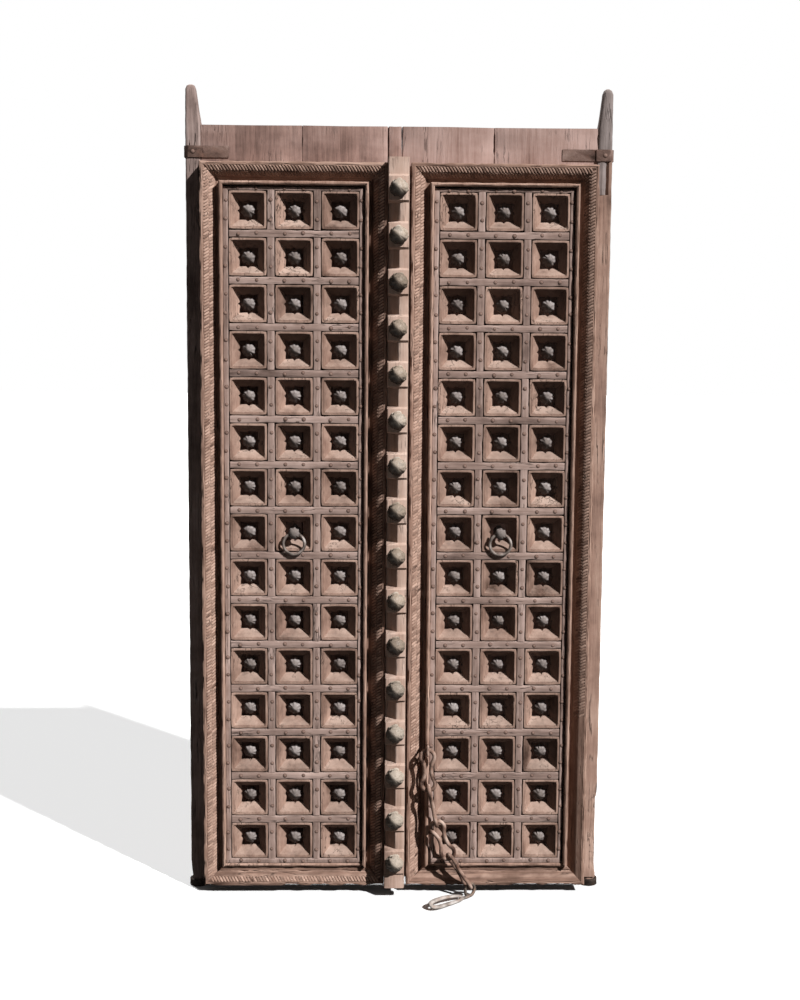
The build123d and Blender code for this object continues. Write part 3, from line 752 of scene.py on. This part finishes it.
def petal_ring(reach, notch, depth_at):
    """The bevel's petalled edge, with a petal half way between each side's middle and corner."""
    ring = []
    for angle in round_steps(around):
        radius = reach * squared(angle, petal_softness)
        radius -= notch * abs(sin(petals * angle / 2)) ** petal_roundness
        side = radius * max(abs(cos(angle)), abs(sin(angle)))
        ring.append(Vector((radius * cos(angle), -depth_at(side), radius * sin(angle))))
    return ring


mouth = coffer_half - coffer_lip
slope = bevel_depth / (mouth - petal_reach + petal_notch)


def bevel_level(side):
    return coffer_depth - (mouth - side) * slope


coffer_rings = [
    (0, board_rub, square_ring(coffer_half, coffer_back)),
    (0.4, board_rub, square_ring(coffer_half, coffer_depth - lip_edge)),
    (0.9, board_rub, square_ring(coffer_half - lip_edge, coffer_depth)),
    (0.7, board_rub, square_ring(mouth + lip_slope, coffer_depth)),
    (0, board_rub, square_ring(mouth, coffer_depth - mouth_drop)),
    (0.6, board_rub, square_ring(mouth - mouth_step, coffer_depth - mouth_fall)),
    (0.9, petal_rub, petal_ring(petal_reach + petal_edge, edge_notch, bevel_level)),
    (0.5, petal_rub, petal_ring(petal_reach, petal_notch, lambda x: bevel_level(x) - petal_drop)),
    (0, petal_rub, petal_ring(petal_reach + undercut, back_notch, lambda x: coffer_back)),
]
half_opening = (coffer_pitch - bar_width) / 2
coffer_places = {}
for leaf in leaves:
    shape = Shape()
    low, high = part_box(f"{leaf}_coffers")
    first = Vector((low.x + half_opening, plank_face, high.z - half_opening))
    coffer_places[leaf] = {
        (row, column): first + Vector((column * coffer_pitch, 0, -row * coffer_pitch))
        for row in range(coffer_rows) for column in range(coffer_columns)
    }
    for spot in coffer_places[leaf].values():
        rings = []
        for worn, rub, ring in coffer_rings:
            points = [spot + point for point in ring]
            moves = [rub * noise.noise(point * rub_scale) for point in points]
            rings.append([(point + Vector((1, 1, 1)) * move, worn)
                          for point, move in zip(points, moves)])
        shape.loops(rings, uneven(spot, *coffer_tones), (False, False))
    piece = shape.piece(f"{leaf}_coffers_carved", coffer_wood, sharp=30)
    fit(piece, f"{leaf}_coffers")

# Knobs: a cast head of eight round lobes on a short stem, in dark bronze rubbed pale on top. One
# is driven into the planks in each coffer, turned as it happened to stop.
knob_radius, knob_height, lobes, knob_around = 0.0198, 0.034, 8, 32
knob_profile = (
    (0.66, 0.0), (0.64, 0.06), (0.44, 0.12), (0.46, 0.18), (0.80, 0.24), (0.96, 0.32), (1.0, 0.42),
    (0.95, 0.53), (0.82, 0.65), (0.64, 0.76), (0.46, 0.86), (0.30, 0.94), (0.15, 0.99), (0.05, 1.0),
)
iron_shades = ((66, 50, 44), (120, 97, 88), (162, 140, 131))
knob_shades = ((46, 39, 34), (126, 116, 112), (184, 175, 172))


def old_metal(name, shades, rust, rough=0.5, metallic=0.0, painted_shade=0.5, painted_shade_start=0.42, chalky=None):
    """Worn metal: dark in its hollows, rubbed bright on what stands out, stained in patches, painted shade."""
    patch_share, fine_share, wear_share, tone_share = 0.6, 0.4, 0.55, 0.2
    stain_share, rubbed_off, stain_dulls = 0.7, 0.6, 0.8
    chalk_share, chalk_ragged, chalk_fade = 0.6, 0.3, (0.15, 0.1)
    fine_rise, patch_rise, pit_rise, relief = 0.5, 1.2, 0.2, 0.0009
    fine_part, stain_part = 0.25, 0.2
    chalk_shade, painted_shade_colour = (196, 184, 170), (28, 22, 18)
    finish = Finish(name)
    dark, middle, bright = map(shade, shades)
    tone, wear = finish.attribute("tone"), finish.attribute("wear")
    place = finish.place((1, 1, 1), tone)
    patch = finish.noise(place, scale=48, detail=4, roughness=0.65)
    fine = finish.noise(place, scale=420, detail=4, roughness=0.7)
    pit = finish.noise(place, scale=900, detail=2)
    light = patch * patch_share + fine * fine_share
    light = light + (wear - 0.5) * wear_share + (tone - 0.5) * tone_share
    colour = finish.ramp(light.held(), [(0.25, dark), (0.52, middle), (0.85, bright)])
    stain = (patch.over(0.5, 0.62) * (1 - wear * rubbed_off)).held()
    colour = finish.mix((stain * stain_share).held(), colour, shade(rust))
    if chalky is not None:
        spot = finish.node("ShaderNodeTexCoord", output="Object")
        level = finish.node("ShaderNodeSeparateXYZ", None, {"Vector": spot}, "Z")
        level = level + (patch - 0.5) * chalk_ragged
        above = level.over(chalky - chalk_fade[0], chalky + chalk_fade[1])
        chalk = (1 - above) * fine.over(0.3, 0.55)
        colour = finish.mix((chalk * chalk_share).held(), colour, shade(chalk_shade))
        stain = (stain + chalk).held()
    # Painted shade: a dark colour laid on faces turned away from the sun.
    colour = finish.mix(finish.turned_from_sun(painted_shade_start) * painted_shade, colour, shade(painted_shade_colour))
    shiny = (metallic * (1 - stain * stain_dulls)).held() if metallic else 0.0
    height = fine * fine_rise + patch * patch_rise + pit * pit_rise
    roughness = (rough + fine * fine_part + stain * stain_part).held()
    return finish.surface(colour, roughness, height, relief, shiny)


def lobed_head(profile, radius, height, foot=Vector(), lobe=0.2, lobe_top=0.86, lumps=0.2):
    """A lathe-like head whose widest part swells into lobes; it points out of the door."""
    lobe_foot, stem_width, full_width, lobe_roundness, lobe_drift = 0.03, 0.12, 0.42, 0.8, 0.5
    fullness, waves = 0.96, ((2.3, 0.16), (4.4, lumps))
    least_wear, crest_wear, top_wear = 0.4, 0.3, 0.15
    shape, rings = Shape(), []
    for width, level in profile:
        swells = lobe_foot < level < lobe_top
        swell = lobe * part_way(width, stem_width, full_width) if swells else 0
        rings.append([])
        for angle in round_steps(knob_around):
            crest = abs(cos(lobes * angle / 2 + lobe_drift * sin(angle))) ** lobe_roundness
            lump = uneven(Vector((cos(angle), -level, sin(angle))), fullness, *waves)
            reach = radius * width * (1 - swell + swell * crest) * min(1, lump)
            spot = foot + Vector((reach * cos(angle), -height * level, reach * sin(angle)))
            wear = least_wear + crest_wear * crest * swell / lobe + top_wear * level
            rings[-1].append((spot, wear))
    shape.loops(rings)
    return shape


iron_finish = old_metal("forged_iron", iron_shades, (112, 84, 73), rough=0.55)
# The knobs carry strong painted shade on their lower left, away from the sun.
knob_finish = old_metal("knob_bronze", knob_shades, (104, 92, 82), rough=0.45, painted_shade=0.75)
knob = template(lobed_head(knob_profile, knob_radius, knob_height), "knob_head", sharp=70)
for leaf in leaves:
    chance = random.Random(leaf)
    places = [(spot, (0, chance.uniform(0, tau), 0), (1, 1, 1))
              for place, spot in coffer_places[leaf].items() if place != (ring_row, ring_column)]
    piece = set_out(f"{leaf}_knobs_lobed", knob, places, knob_finish, unevenness=0.03)
    fit(piece, f"{leaf}_coffer_knobs")

# Nails: round-headed iron nails, two in each bar of the lattice between crossings and along the
# battens. They are hand-made, so they stand a little off their lines.
nail_radius, nail_rise, nail_apart, nail_around = 0.0045, 0.0012, 0.024, 10
nail_stray_across, nail_stray_up = 0.0015, 0.002
nail_shades = ((44, 34, 30), (122, 98, 88), (150, 124, 113))
nail_profile = ((1.16, 0, 0.1), (1.1, 0.15, 0.1), (0.95, 0.4, 0.6), (0.72, 0.8, 1), (0.3, 1, 1))
edge_shift = (bar_width - batten_width - (batten_width - batten_face)) / 2
nail_shape = Shape()
nail_shape.loops([
    [(Vector((scale * cos(angle), -height, scale * sin(angle))), worn)
     for angle in round_steps(nail_around)] for scale, height, worn in nail_profile
], capped=(False, True))
nail = template(nail_shape, "nail_head", sharp=80)
nail_finish = old_metal("nail_iron", nail_shades, (92, 66, 54), rough=0.7)


def bar_lines(first, count):
    """The middles of parallel bars, of which the first and last are the narrower battens."""
    lines = [first + index * coffer_pitch for index in range(count)]
    lines[0] += edge_shift
    lines[-1] -= edge_shift + groove_width / 2
    return lines


for leaf in leaves:
    chance = random.Random(leaf + "nails")
    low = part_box(f"{leaf}_coffers")[0]
    spots = []
    for column in range(coffer_columns):
        middle = low.x + half_opening + column * coffer_pitch
        for level in bar_lines(low.z - bar_width / 2, coffer_rows + 1):
            spots += [(middle - nail_apart, level), (middle + nail_apart, level)]
    for row in range(coffer_rows):
        level = low.z + half_opening + row * coffer_pitch
        for line in bar_lines(low.x - bar_width / 2, coffer_columns + 1):
            spots += [(line, level - nail_apart), (line, level + nail_apart)]
    places = []
    for x, z in spots:
        x += chance.uniform(-nail_stray_across, nail_stray_across)
        z += chance.uniform(-nail_stray_up, nail_stray_up)
        turn = (0, chance.uniform(0, tau), 0)
        spot = Vector((x, plank_face - lattice_depth, z))
        places.append((spot, turn, (nail_radius, nail_rise, nail_radius)))
    piece = set_out(f"{leaf}_lattice_nails", nail, places, nail_finish, unevenness=0.12)
    add_to_leaf(piece, leaf)

# Cover strip: a heavy square teak strip on the left leaf's meeting stile, with proud blocks under
# the bosses and a wide stopped chamfer on the left edge between them. Its right-hand edge is
# rebated at the back, to let the other leaf's border swing clear.
strip_shades = ((100, 76, 65), (184, 154, 138), (214, 188, 173))
strip_finish = old_wood("strip_teak", (1, 1, 0.05), strip_shades, crack=0.8)
block_height, block_rise = 0.060, 0.006
chamfer_width, chamfer_depth, chamfer_run = 0.029, 0.044, 0.006
strip_step, strip_edge, strip_arris, strip_wear = 0.008, 0.003, 0.002, 0.0025
strip_chips, strip_rub, strip_tone = (0.2, (21, 0.9), (75, 0.5)), 0.3, 0.6
rebate_width, nose_depth = 0.0075, 0.036
low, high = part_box("cover_strip")
boss_low, boss_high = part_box("cover_strip_bosses")
boss_count, boss_radius = 16, 0.026
boss_end = boss_radius * cos(pi / 8)
boss_pitch = (boss_high.z - boss_low.z - 2 * boss_end) / (boss_count - 1)
boss_levels = [boss_low.z + boss_end + index * boss_pitch for index in range(boss_count)]
strip_face = low.y
rebate_x, rebate_y = high.x - rebate_width, strip_face + nose_depth
levels = {low.z + index * strip_step for index in range(int((high.z - low.z) / strip_step))}
levels |= {low.z, high.z}
for level in boss_levels:
    for side in (-1, 1):
        block_end = level + side * block_height / 2
        levels |= {block_end, block_end + side * chamfer_run}
rings = []
for level in sorted(levels):
    away = min(abs(level - boss) for boss in boss_levels) - block_height / 2
    cut = part_way(away / chamfer_run)
    between = -block_height / 2 <= level - boss_levels[0]
    between = between and level - boss_levels[-1] <= block_height / 2
    bevel = cut if between else 0
    face = strip_face + block_rise * cut
    corners = [(low.x, high.y), (rebate_x, high.y), (rebate_x, rebate_y), (high.x, rebate_y)]
    corners += [(high.x, face), (low.x + strip_arris + (chamfer_width - strip_arris) * bevel, face)]
    corners.append((low.x, face + strip_arris + (chamfer_depth - strip_arris) * bevel))
    rings.append([])
    for point, way_in in round_corners(corners, strip_edge):
        spot = Vector((point.x, point.y, level))
        chip = max(0, uneven(spot, *strip_chips))
        spot += Vector((way_in.x, way_in.y, 0)) * strip_wear * chip
        rings[-1].append((spot, min(1, strip_rub + chip) if way_in.length else 0))
shape = Shape()
shape.loops(rings, strip_tone)
fit(shape.piece("cover_strip_worn", strip_finish, sharp=30), "cover_strip")

# Bosses: sixteen cast bronze bosses down the strip, each a lumpy dome on a petalled foot, driven
# into its block. The upper ones are dark with patina, the lowest are chalky.
boss_profile = (
    (0.96, 0.0), (1.0, 0.05), (0.97, 0.12), (0.80, 0.16), (0.88, 0.25), (0.91, 0.37), (0.86, 0.51),
    (0.74, 0.66), (0.58, 0.79), (0.39, 0.90), (0.21, 0.97), (0.05, 1.0),
)
boss_shades, boss_turn = ((58, 49, 41), (168, 151, 135), (238, 226, 212)), 0.2
# The bosses carry the strongest painted shade, which darkens their lower left, away from the sun.
boss_finish = old_metal("boss_bronze", boss_shades, (66, 60, 48), rough=0.12, painted_shade=0.85,
                        painted_shade_start=0.46, chalky=0.6)
boss_shape = lobed_head(boss_profile, boss_radius, strip_face - boss_low.y, lobe=0.12,
                        lobe_top=0.15, lumps=0.32)
boss = template(boss_shape, "boss_head", sharp=70)
middle = (boss_low.x + boss_high.x) / 2
chance = random.Random("bosses")
places = [
    (Vector((middle, strip_face, level)), (0, chance.uniform(-boss_turn, boss_turn), 0), (1, 1, 1))
    for level in boss_levels
]
piece = set_out("bosses_petalled", boss, places, boss_finish, unevenness=0.02)
fit(piece, "cover_strip_bosses")

# Iron straps: hand-forged flat bars that tie the post tops to the planks, bent over the post's
# front and held by a nail on the pivot's line.
pivot_reach, strap_nail = 0.539, 1.2
hammer_scale, forged_rub = 90, (0.5, (70, 0.8))


def forged_copy(node, bevel, cut, rough):
    """A CAD node's own form with softened edges and a hammered surface."""
    flat, sharp = radians(1), radians(25)
    weld, bevel_fullness, rounds, tone = 1e-5, 0.6, 4, 0.5
    edit = bmesh.new()
    edit.from_mesh(frame["nodes"][node].data)
    bmesh.ops.remove_doubles(edit, verts=edit.verts, dist=weld)
    bmesh.ops.dissolve_limit(edit, angle_limit=flat, verts=edit.verts, edges=edit.edges)
    edges = [edge for edge in edit.edges if edge.is_manifold and edge.calc_face_angle() > sharp]
    bmesh.ops.bevel(edit, geom=edges, offset=bevel, segments=2, affect="EDGES",
                    profile=bevel_fullness)
    bmesh.ops.triangulate(edit, faces=[face for face in edit.faces if len(face.verts) > 4])
    for _ in range(rounds):
        long = [edge for edge in edit.edges if edge.calc_length() > cut]
        if long:
            bmesh.ops.subdivide_edges(edit, edges=long, cuts=1)
    for vert in edit.verts:
        vert.co += vert.normal * rough * (noise.noise(vert.co * hammer_scale) - 1)
    bmesh.ops.recalc_face_normals(edit, faces=edit.faces)
    shape = Shape()
    edit.verts.index_update()
    shape.points = [tuple(vert.co) for vert in edit.verts]
    shape.faces = [[vert.index for vert in face.verts] for face in edit.faces]
    shape.wear = [part_way(uneven(vert.co, *forged_rub)) for vert in edit.verts]
    shape.tone = [tone] * len(shape.points)
    edit.free()
    return shape


for leaf, side in zip(leaves, (-1, 1)):
    node = f"{leaf}_pivot_strap"
    shape = forged_copy(node, bevel=0.0008, cut=0.012, rough=0.0005)
    fit(shape.piece(node + "_forged", iron_finish), node)
    low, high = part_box(node)
    spot = Vector((side * pivot_reach, low.y, (low.z + high.z) / 2))
    size = (nail_radius * strap_nail, nail_rise * strap_nail, nail_radius * strap_nail)
    places = [(spot, (0, 0, 0), size)]
    piece = set_out(node + "_nail", nail, places, nail_finish, unevenness=0)
    add_to_leaf(piece, leaf)

# Pull rings: a plain iron ring hangs in a taller pierced knob in the middle coffer of the eighth
# row. The ring is bent from round bar and forge-welded, and turns freely in its knob.
ring_radius, ring_bar, ring_around, bar_around = 0.028, 0.0041, 56, 12
ring_knob_radius, ring_knob_rise = 0.0165, 0.0105
ring_knob_profile = (
    (0.95, 0.0), (0.95, 0.04), (0.62, 0.12), (0.55, 0.55), (0.60, 0.64), (0.92, 0.74), (1.0, 0.84),
    (0.90, 0.93), (0.55, 0.99), (0.2, 1.0),
)
ring_shades = ((52, 45, 41), (136, 124, 117), (206, 198, 193))
lump_scale, bar_rub = 110, (0.5, (60, 0.7))


def bar_along(shape, path, sideways, radii, rough=0.0003, flat=1.0):
    """Add a closed loop of bar along a path of points; sideways is the loop's normal."""
    rings = []
    for index, (point, radius) in enumerate(zip(path, radii)):
        ahead = (path[(index + 1) % len(path)] - path[index - 1]).normalized()
        outward = ahead.cross(sideways).normalized()
        rings.append([])
        for angle in round_steps(bar_around):
            spot = point + (outward * cos(angle) + sideways * sin(angle) * flat) * radius
            lump = (spot - point).normalized() * rough * noise.noise(spot * lump_scale)
            rings[-1].append((spot + lump, part_way(uneven(spot, *bar_rub))))
    shape.loops(rings + rings[:1], capped=(False, False))


ring_finish = old_metal("ring_iron", ring_shades, (96, 74, 62), metallic=0.3, rough=0.4)
joints = {joint["name"]: joint for joint in frame["joints"]}
for leaf in leaves:
    hinge = Vector(joints[f"{leaf}_ring_lift"]["pos_m"])
    shape = Shape()
    path = [hinge + Vector((sin(angle), 0, cos(angle) - 1)) * ring_radius
            for angle in round_steps(ring_around)]
    bar_along(shape, path, front, [ring_bar] * ring_around)
    piece = shape.piece(f"{leaf}_pull_ring_forged", ring_finish, sharp=80)
    fit(piece, f"{leaf}_pull_ring")
    tall = plank_face - hinge.y + ring_knob_rise
    foot = Vector((hinge.x, plank_face, hinge.z))
    shape = lobed_head(ring_knob_profile, ring_knob_radius, tall, foot)
    piece = shape.piece(f"{leaf}_ring_knob_lobed", knob_finish, sharp=70)
    fit(piece, f"{leaf}_ring_knob")

# Chain: a staple driven into the right leaf's ridge moulding, four pinched links of forged bar
# and a flat hasp with a curled eye that lies on the floor. The hasp is rubbed bright by use.
chain_shades = ((66, 48, 41), (152, 124, 110), (208, 184, 170))
chain_finish = old_metal("chain_iron", chain_shades, (134, 100, 84), rough=0.5, painted_shade=0.35)
link_bar, link_length, link_end_radius, link_waist = 0.0055, 0.111, 0.018, 0.0085
link_rough, end_steps, waist_steps = 0.0005, 12, 5
link_leans = (0.035, 0.208, 0.375, 0.53)
lower_hinges = ("chain_link_2_lift", "chain_link_3_sway", "chain_link_4_lift", "hasp_lift")


def link_path(bottom, along, across):
    """The centre line of a pinched link: round ends, and sides drawn in to a waist."""
    middle = link_length / 2
    reach = middle - link_end_radius
    drawn = reach**2 + link_waist**2 - link_end_radius**2
    waist = drawn / (2 * (link_end_radius - link_waist))
    turn = atan2(link_waist + waist, -reach)
    bend = turn - pi / 2
    ends = [turn * step / end_steps for step in range(end_steps + 1)]
    sides = [bend * (1 - step / waist_steps) for step in range(1, waist_steps + 1)]
    quarter = [(reach + link_end_radius * cos(a), link_end_radius * sin(a)) for a in ends]
    quarter += [(waist * sin(a), link_waist + waist * (1 - cos(a))) for a in sides]
    half = quarter + [(-u, v) for u, v in reversed(quarter[:-1])]
    whole = half + [(u, -v) for u, v in reversed(half[1:-1])]
    centre = bottom - along * middle
    return [centre + along * u + across * v for u, v in whole]


shape = forged_copy("chain_staple", bevel=0.0008, cut=0.006, rough=0.0004)
fit(shape.piece("chain_staple_forged", chain_finish, sharp=60), "chain_staple")
for number, (lean, name) in enumerate(zip(link_leans, lower_hinges), 1):
    along = Vector((lean, 0, -sqrt(1 - lean**2)))
    across = Vector(joints[name]["axis"]).normalized()
    path = link_path(Vector(joints[name]["pos_m"]), along, across)
    shape = Shape()
    sideways = along.cross(across).normalized()
    bar_along(shape, path, sideways, [link_bar] * len(path), link_rough)
    piece = shape.piece(f"chain_link_{number}_forged", chain_finish, sharp=80)
    fit(piece, f"chain_link_{number}")

hasp_shades = ((92, 82, 74), (166, 156, 149), (220, 214, 209))
hasp_finish = old_metal("worn_iron", hasp_shades, (146, 112, 90), metallic=0.25, rough=0.4)
hasp_heading, hasp_tilt, hasp_clear, hasp_rough = radians(220), radians(32), 0.0006, 0.0004
eye_radius, eye_bar, eye_around, eye_wear = 0.017, 0.0042, 32, 0.1
loop_start, loop_length, loop_half, loop_around = 0.030, 0.112, 0.0130, 48
loop_bar, loop_far_bar, loop_flat, loop_least_wear = 0.0046, 0.0062, 0.8, 0.35
loop_roundness, loop_near_width, loop_near_rest = 0.6, 0.7, 0.4
neck_stations, neck_wide, neck_high, neck_wear = (0.004, 0.014, 0.024, 0.036), 1.1, 0.9, 0.3
ahead = Vector((cos(hasp_heading), sin(hasp_heading), 0))
aside = up.cross(ahead)
loop_aside = aside * cos(hasp_tilt) - up * sin(hasp_tilt)
hinge = Vector(joints["hasp_lift"]["pos_m"])
foot = Vector((hinge.x, hinge.y, 0))
eye_middle = foot + up * (eye_radius + eye_bar + hasp_clear)
shape = Shape()
path = [eye_middle + (ahead * cos(angle) + up * sin(angle)) * eye_radius
        for angle in round_steps(eye_around)]
bar_along(shape, path, aside, [eye_bar] * eye_around, hasp_rough)
shape.wear = [eye_wear] * len(shape.wear)
path, bars = [], []
for index, angle in enumerate(round_steps(loop_around)):
    share = (1 - cos(angle)) / 2
    bar = loop_bar + (loop_far_bar - loop_bar) * share
    side = 1 if index < loop_around / 2 else -1
    width = loop_half * abs(sin(angle)) ** loop_roundness
    width *= (loop_near_width + (1 - loop_near_width) * share) * side
    tipped = loop_near_rest + (1 - loop_near_rest) * min(1, 2 * share)
    rest = bar + hasp_clear + loop_half * sin(hasp_tilt) * tipped
    path.append(foot + ahead * (loop_start + loop_length * share) + loop_aside * width + up * rest)
    bars.append(bar)
first = len(shape.wear)
bar_along(shape, path, ahead.cross(loop_aside), bars, hasp_rough, loop_flat)
shape.wear[first:] = [loop_least_wear + (1 - loop_least_wear) * worn for worn in shape.wear[first:]]
rings = []
for station in neck_stations:
    spot = foot + ahead * station + up * loop_bar
    section = [aside * cos(angle) * neck_wide + up * sin(angle) * neck_high
               for angle in round_steps(bar_around)]
    rings.append([(spot + point * loop_bar, neck_wear) for point in section])
shape.loops(rings)
fit(shape.piece("chain_hasp_forged", hasp_finish, sharp=60), "chain_hasp")

# Back ledges: five teak boards nailed across the back of each leaf's planks, with their nails
# clenched over.
ledge_shades = ((62, 46, 40), (128, 101, 89), (170, 142, 128))
ledge_finish = old_wood("ledge_teak", (0.05, 1, 1), ledge_shades)
ledge_height, ledge_shares = 0.092, (0.05, 0.275, 0.5, 0.725, 0.95)
ledge_edge, ledge_wear, ledge_step = 0.004, 0.003, 0.012
clench_count, clench_margin_share, clench_apart, clench_sink = 4, 0.1, 0.022, 0.0012
clench_wide, clench_high = 1.2 * nail_radius, 0.9 * nail_rise
for leaf in leaves:
    low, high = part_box(f"{leaf}_back_ledges")
    shape, places = Shape(), []
    outline = round_corners(rectangle(ledge_height, high.y - low.y), ledge_edge)
    width = high.x - low.x
    for share in ledge_shares:
        level = leaf_bottom + (plank_top - leaf_bottom) * share
        start = Vector((low.x, low.y, level - ledge_height / 2))
        worn_length(shape, start, (right, up, -front), width, outline, ledge_wear, ledge_step)
        for index in range(clench_count):
            run = clench_margin_share + (1 - 2 * clench_margin_share) * index / (clench_count - 1)
            for rise in (-clench_apart, clench_apart):
                spot = Vector((low.x + width * run, high.y - clench_sink, level + rise))
                places.append((spot, (0, 0, pi), (clench_wide, clench_high, clench_wide)))
    piece = shape.piece(f"{leaf}_back_ledges_worn", ledge_finish)
    fit(piece, f"{leaf}_back_ledges")
    piece = set_out(f"{leaf}_clenched_nails", nail, places, nail_finish, unevenness=0.1)
    add_to_leaf(piece, leaf)

# Pivot cups: two plain cups of black forged iron, let into the threshold, in which the bottom
# pivots turn.
cup_shades = ((26, 22, 20), (56, 48, 44), (88, 78, 72))
shape = forged_copy("pivot_sockets", bevel=0.001, cut=0.012, rough=0.0003)
cup_finish = old_metal("cup_iron", cup_shades, (62, 48, 40), rough=0.6)
fit(shape.piece("pivot_cups_forged", cup_finish, sharp=60), "pivot_sockets")

# Stage: a plain white floor that throws little light back, a sun from the upper right, a weaker
# wide lamp behind the door, and even light from all round.
floor_half, floor_shade, floor_glow = 30.0, (255, 255, 255), (62, 61, 60)
lamps = {
    "sun": (Vector((0.89, -1.0, 1.06)), 4.95, radians(1.2)),
    "back_lamp": (Vector((-0.5, 1.0, 1.5)), 2.8, radians(20)),
}
sky_strength = 0.07


def seen(nodes):
    """1 for rays from the camera, also by way of metal and glass, and 0 for stray light."""
    camera, glossy, through = (nodes.node("ShaderNodeLightPath", output=f"Is {kind} Ray")
                               for kind in ("Camera", "Glossy", "Transmission"))
    return (camera + glossy + through).held()


mesh = bpy.data.meshes.new("floor")
corners = ((-1, -1), (1, -1), (1, 1), (-1, 1))
mesh.from_pydata([(x * floor_half, y * floor_half, 0) for x, y in corners], [], [(0, 1, 2, 3)])
floor_finish = Finish("floor_paint")
floor_colour = floor_finish.mix(seen(floor_finish), shade(floor_glow), shade(floor_shade))
matt = {"Base Color": floor_colour, "Roughness": 1.0, "Specular IOR Level": 0.0}
floor_shader = floor_finish.node("ShaderNodeBsdfPrincipled", None, matt)
floor_finish.node("ShaderNodeOutputMaterial", None, {"Surface": floor_shader})
mesh.materials.append(floor_finish.material)
floor = bpy.data.objects.new("floor", mesh)
scene.collection.objects.link(floor)
floor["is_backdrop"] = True

for name, (source, strength, spread) in lamps.items():
    lamp = bpy.data.lights.new(name, "SUN")
    lamp.energy, lamp.angle = strength, spread
    light = bpy.data.objects.new(name, lamp)
    light.rotation_mode = "QUATERNION"
    light.rotation_quaternion = (-source).to_track_quat("-Z", "Y")
    scene.collection.objects.link(light)

scene.world = bpy.data.worlds.new("sky")
scene.world.use_nodes = True
sky = Nodes(scene.world.node_tree)
glow = {"Color": (1, 1, 1, 1), "Strength": seen(sky) * (1 - sky_strength) + sky_strength}
sky.node("ShaderNodeOutputWorld", None, {"Surface": sky.node("ShaderNodeBackground", None, glow)})
scene.view_settings.view_transform = "Standard"

# Camera: where the photographer stood, a little left of the middle and above the middle of the
# door, held very slightly askew.
camera_spot = Vector((-0.091, -4.03, 1.54))
pitch, yaw, roll = radians(6.62), radians(1.41), radians(0.44)
lens, sensor = 67.67, 36.0
forward = Vector((sin(yaw) * cos(pitch), cos(yaw) * cos(pitch), -sin(pitch)))
level_right = forward.cross(up).normalized()
level_up = level_right.cross(forward)
camera_right = level_right * cos(roll) + level_up * sin(roll)
camera_up = level_up * cos(roll) - level_right * sin(roll)
lens_data = bpy.data.cameras.new("camera")
lens_data.lens, lens_data.sensor_width, lens_data.sensor_fit = lens, sensor, "HORIZONTAL"
camera = bpy.data.objects.new("camera", lens_data)
camera.matrix_world = Matrix((camera_right, camera_up, -forward)).transposed().to_4x4()
camera.location = camera_spot
scene.collection.objects.link(camera)
scene.camera = camera

low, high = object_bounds()
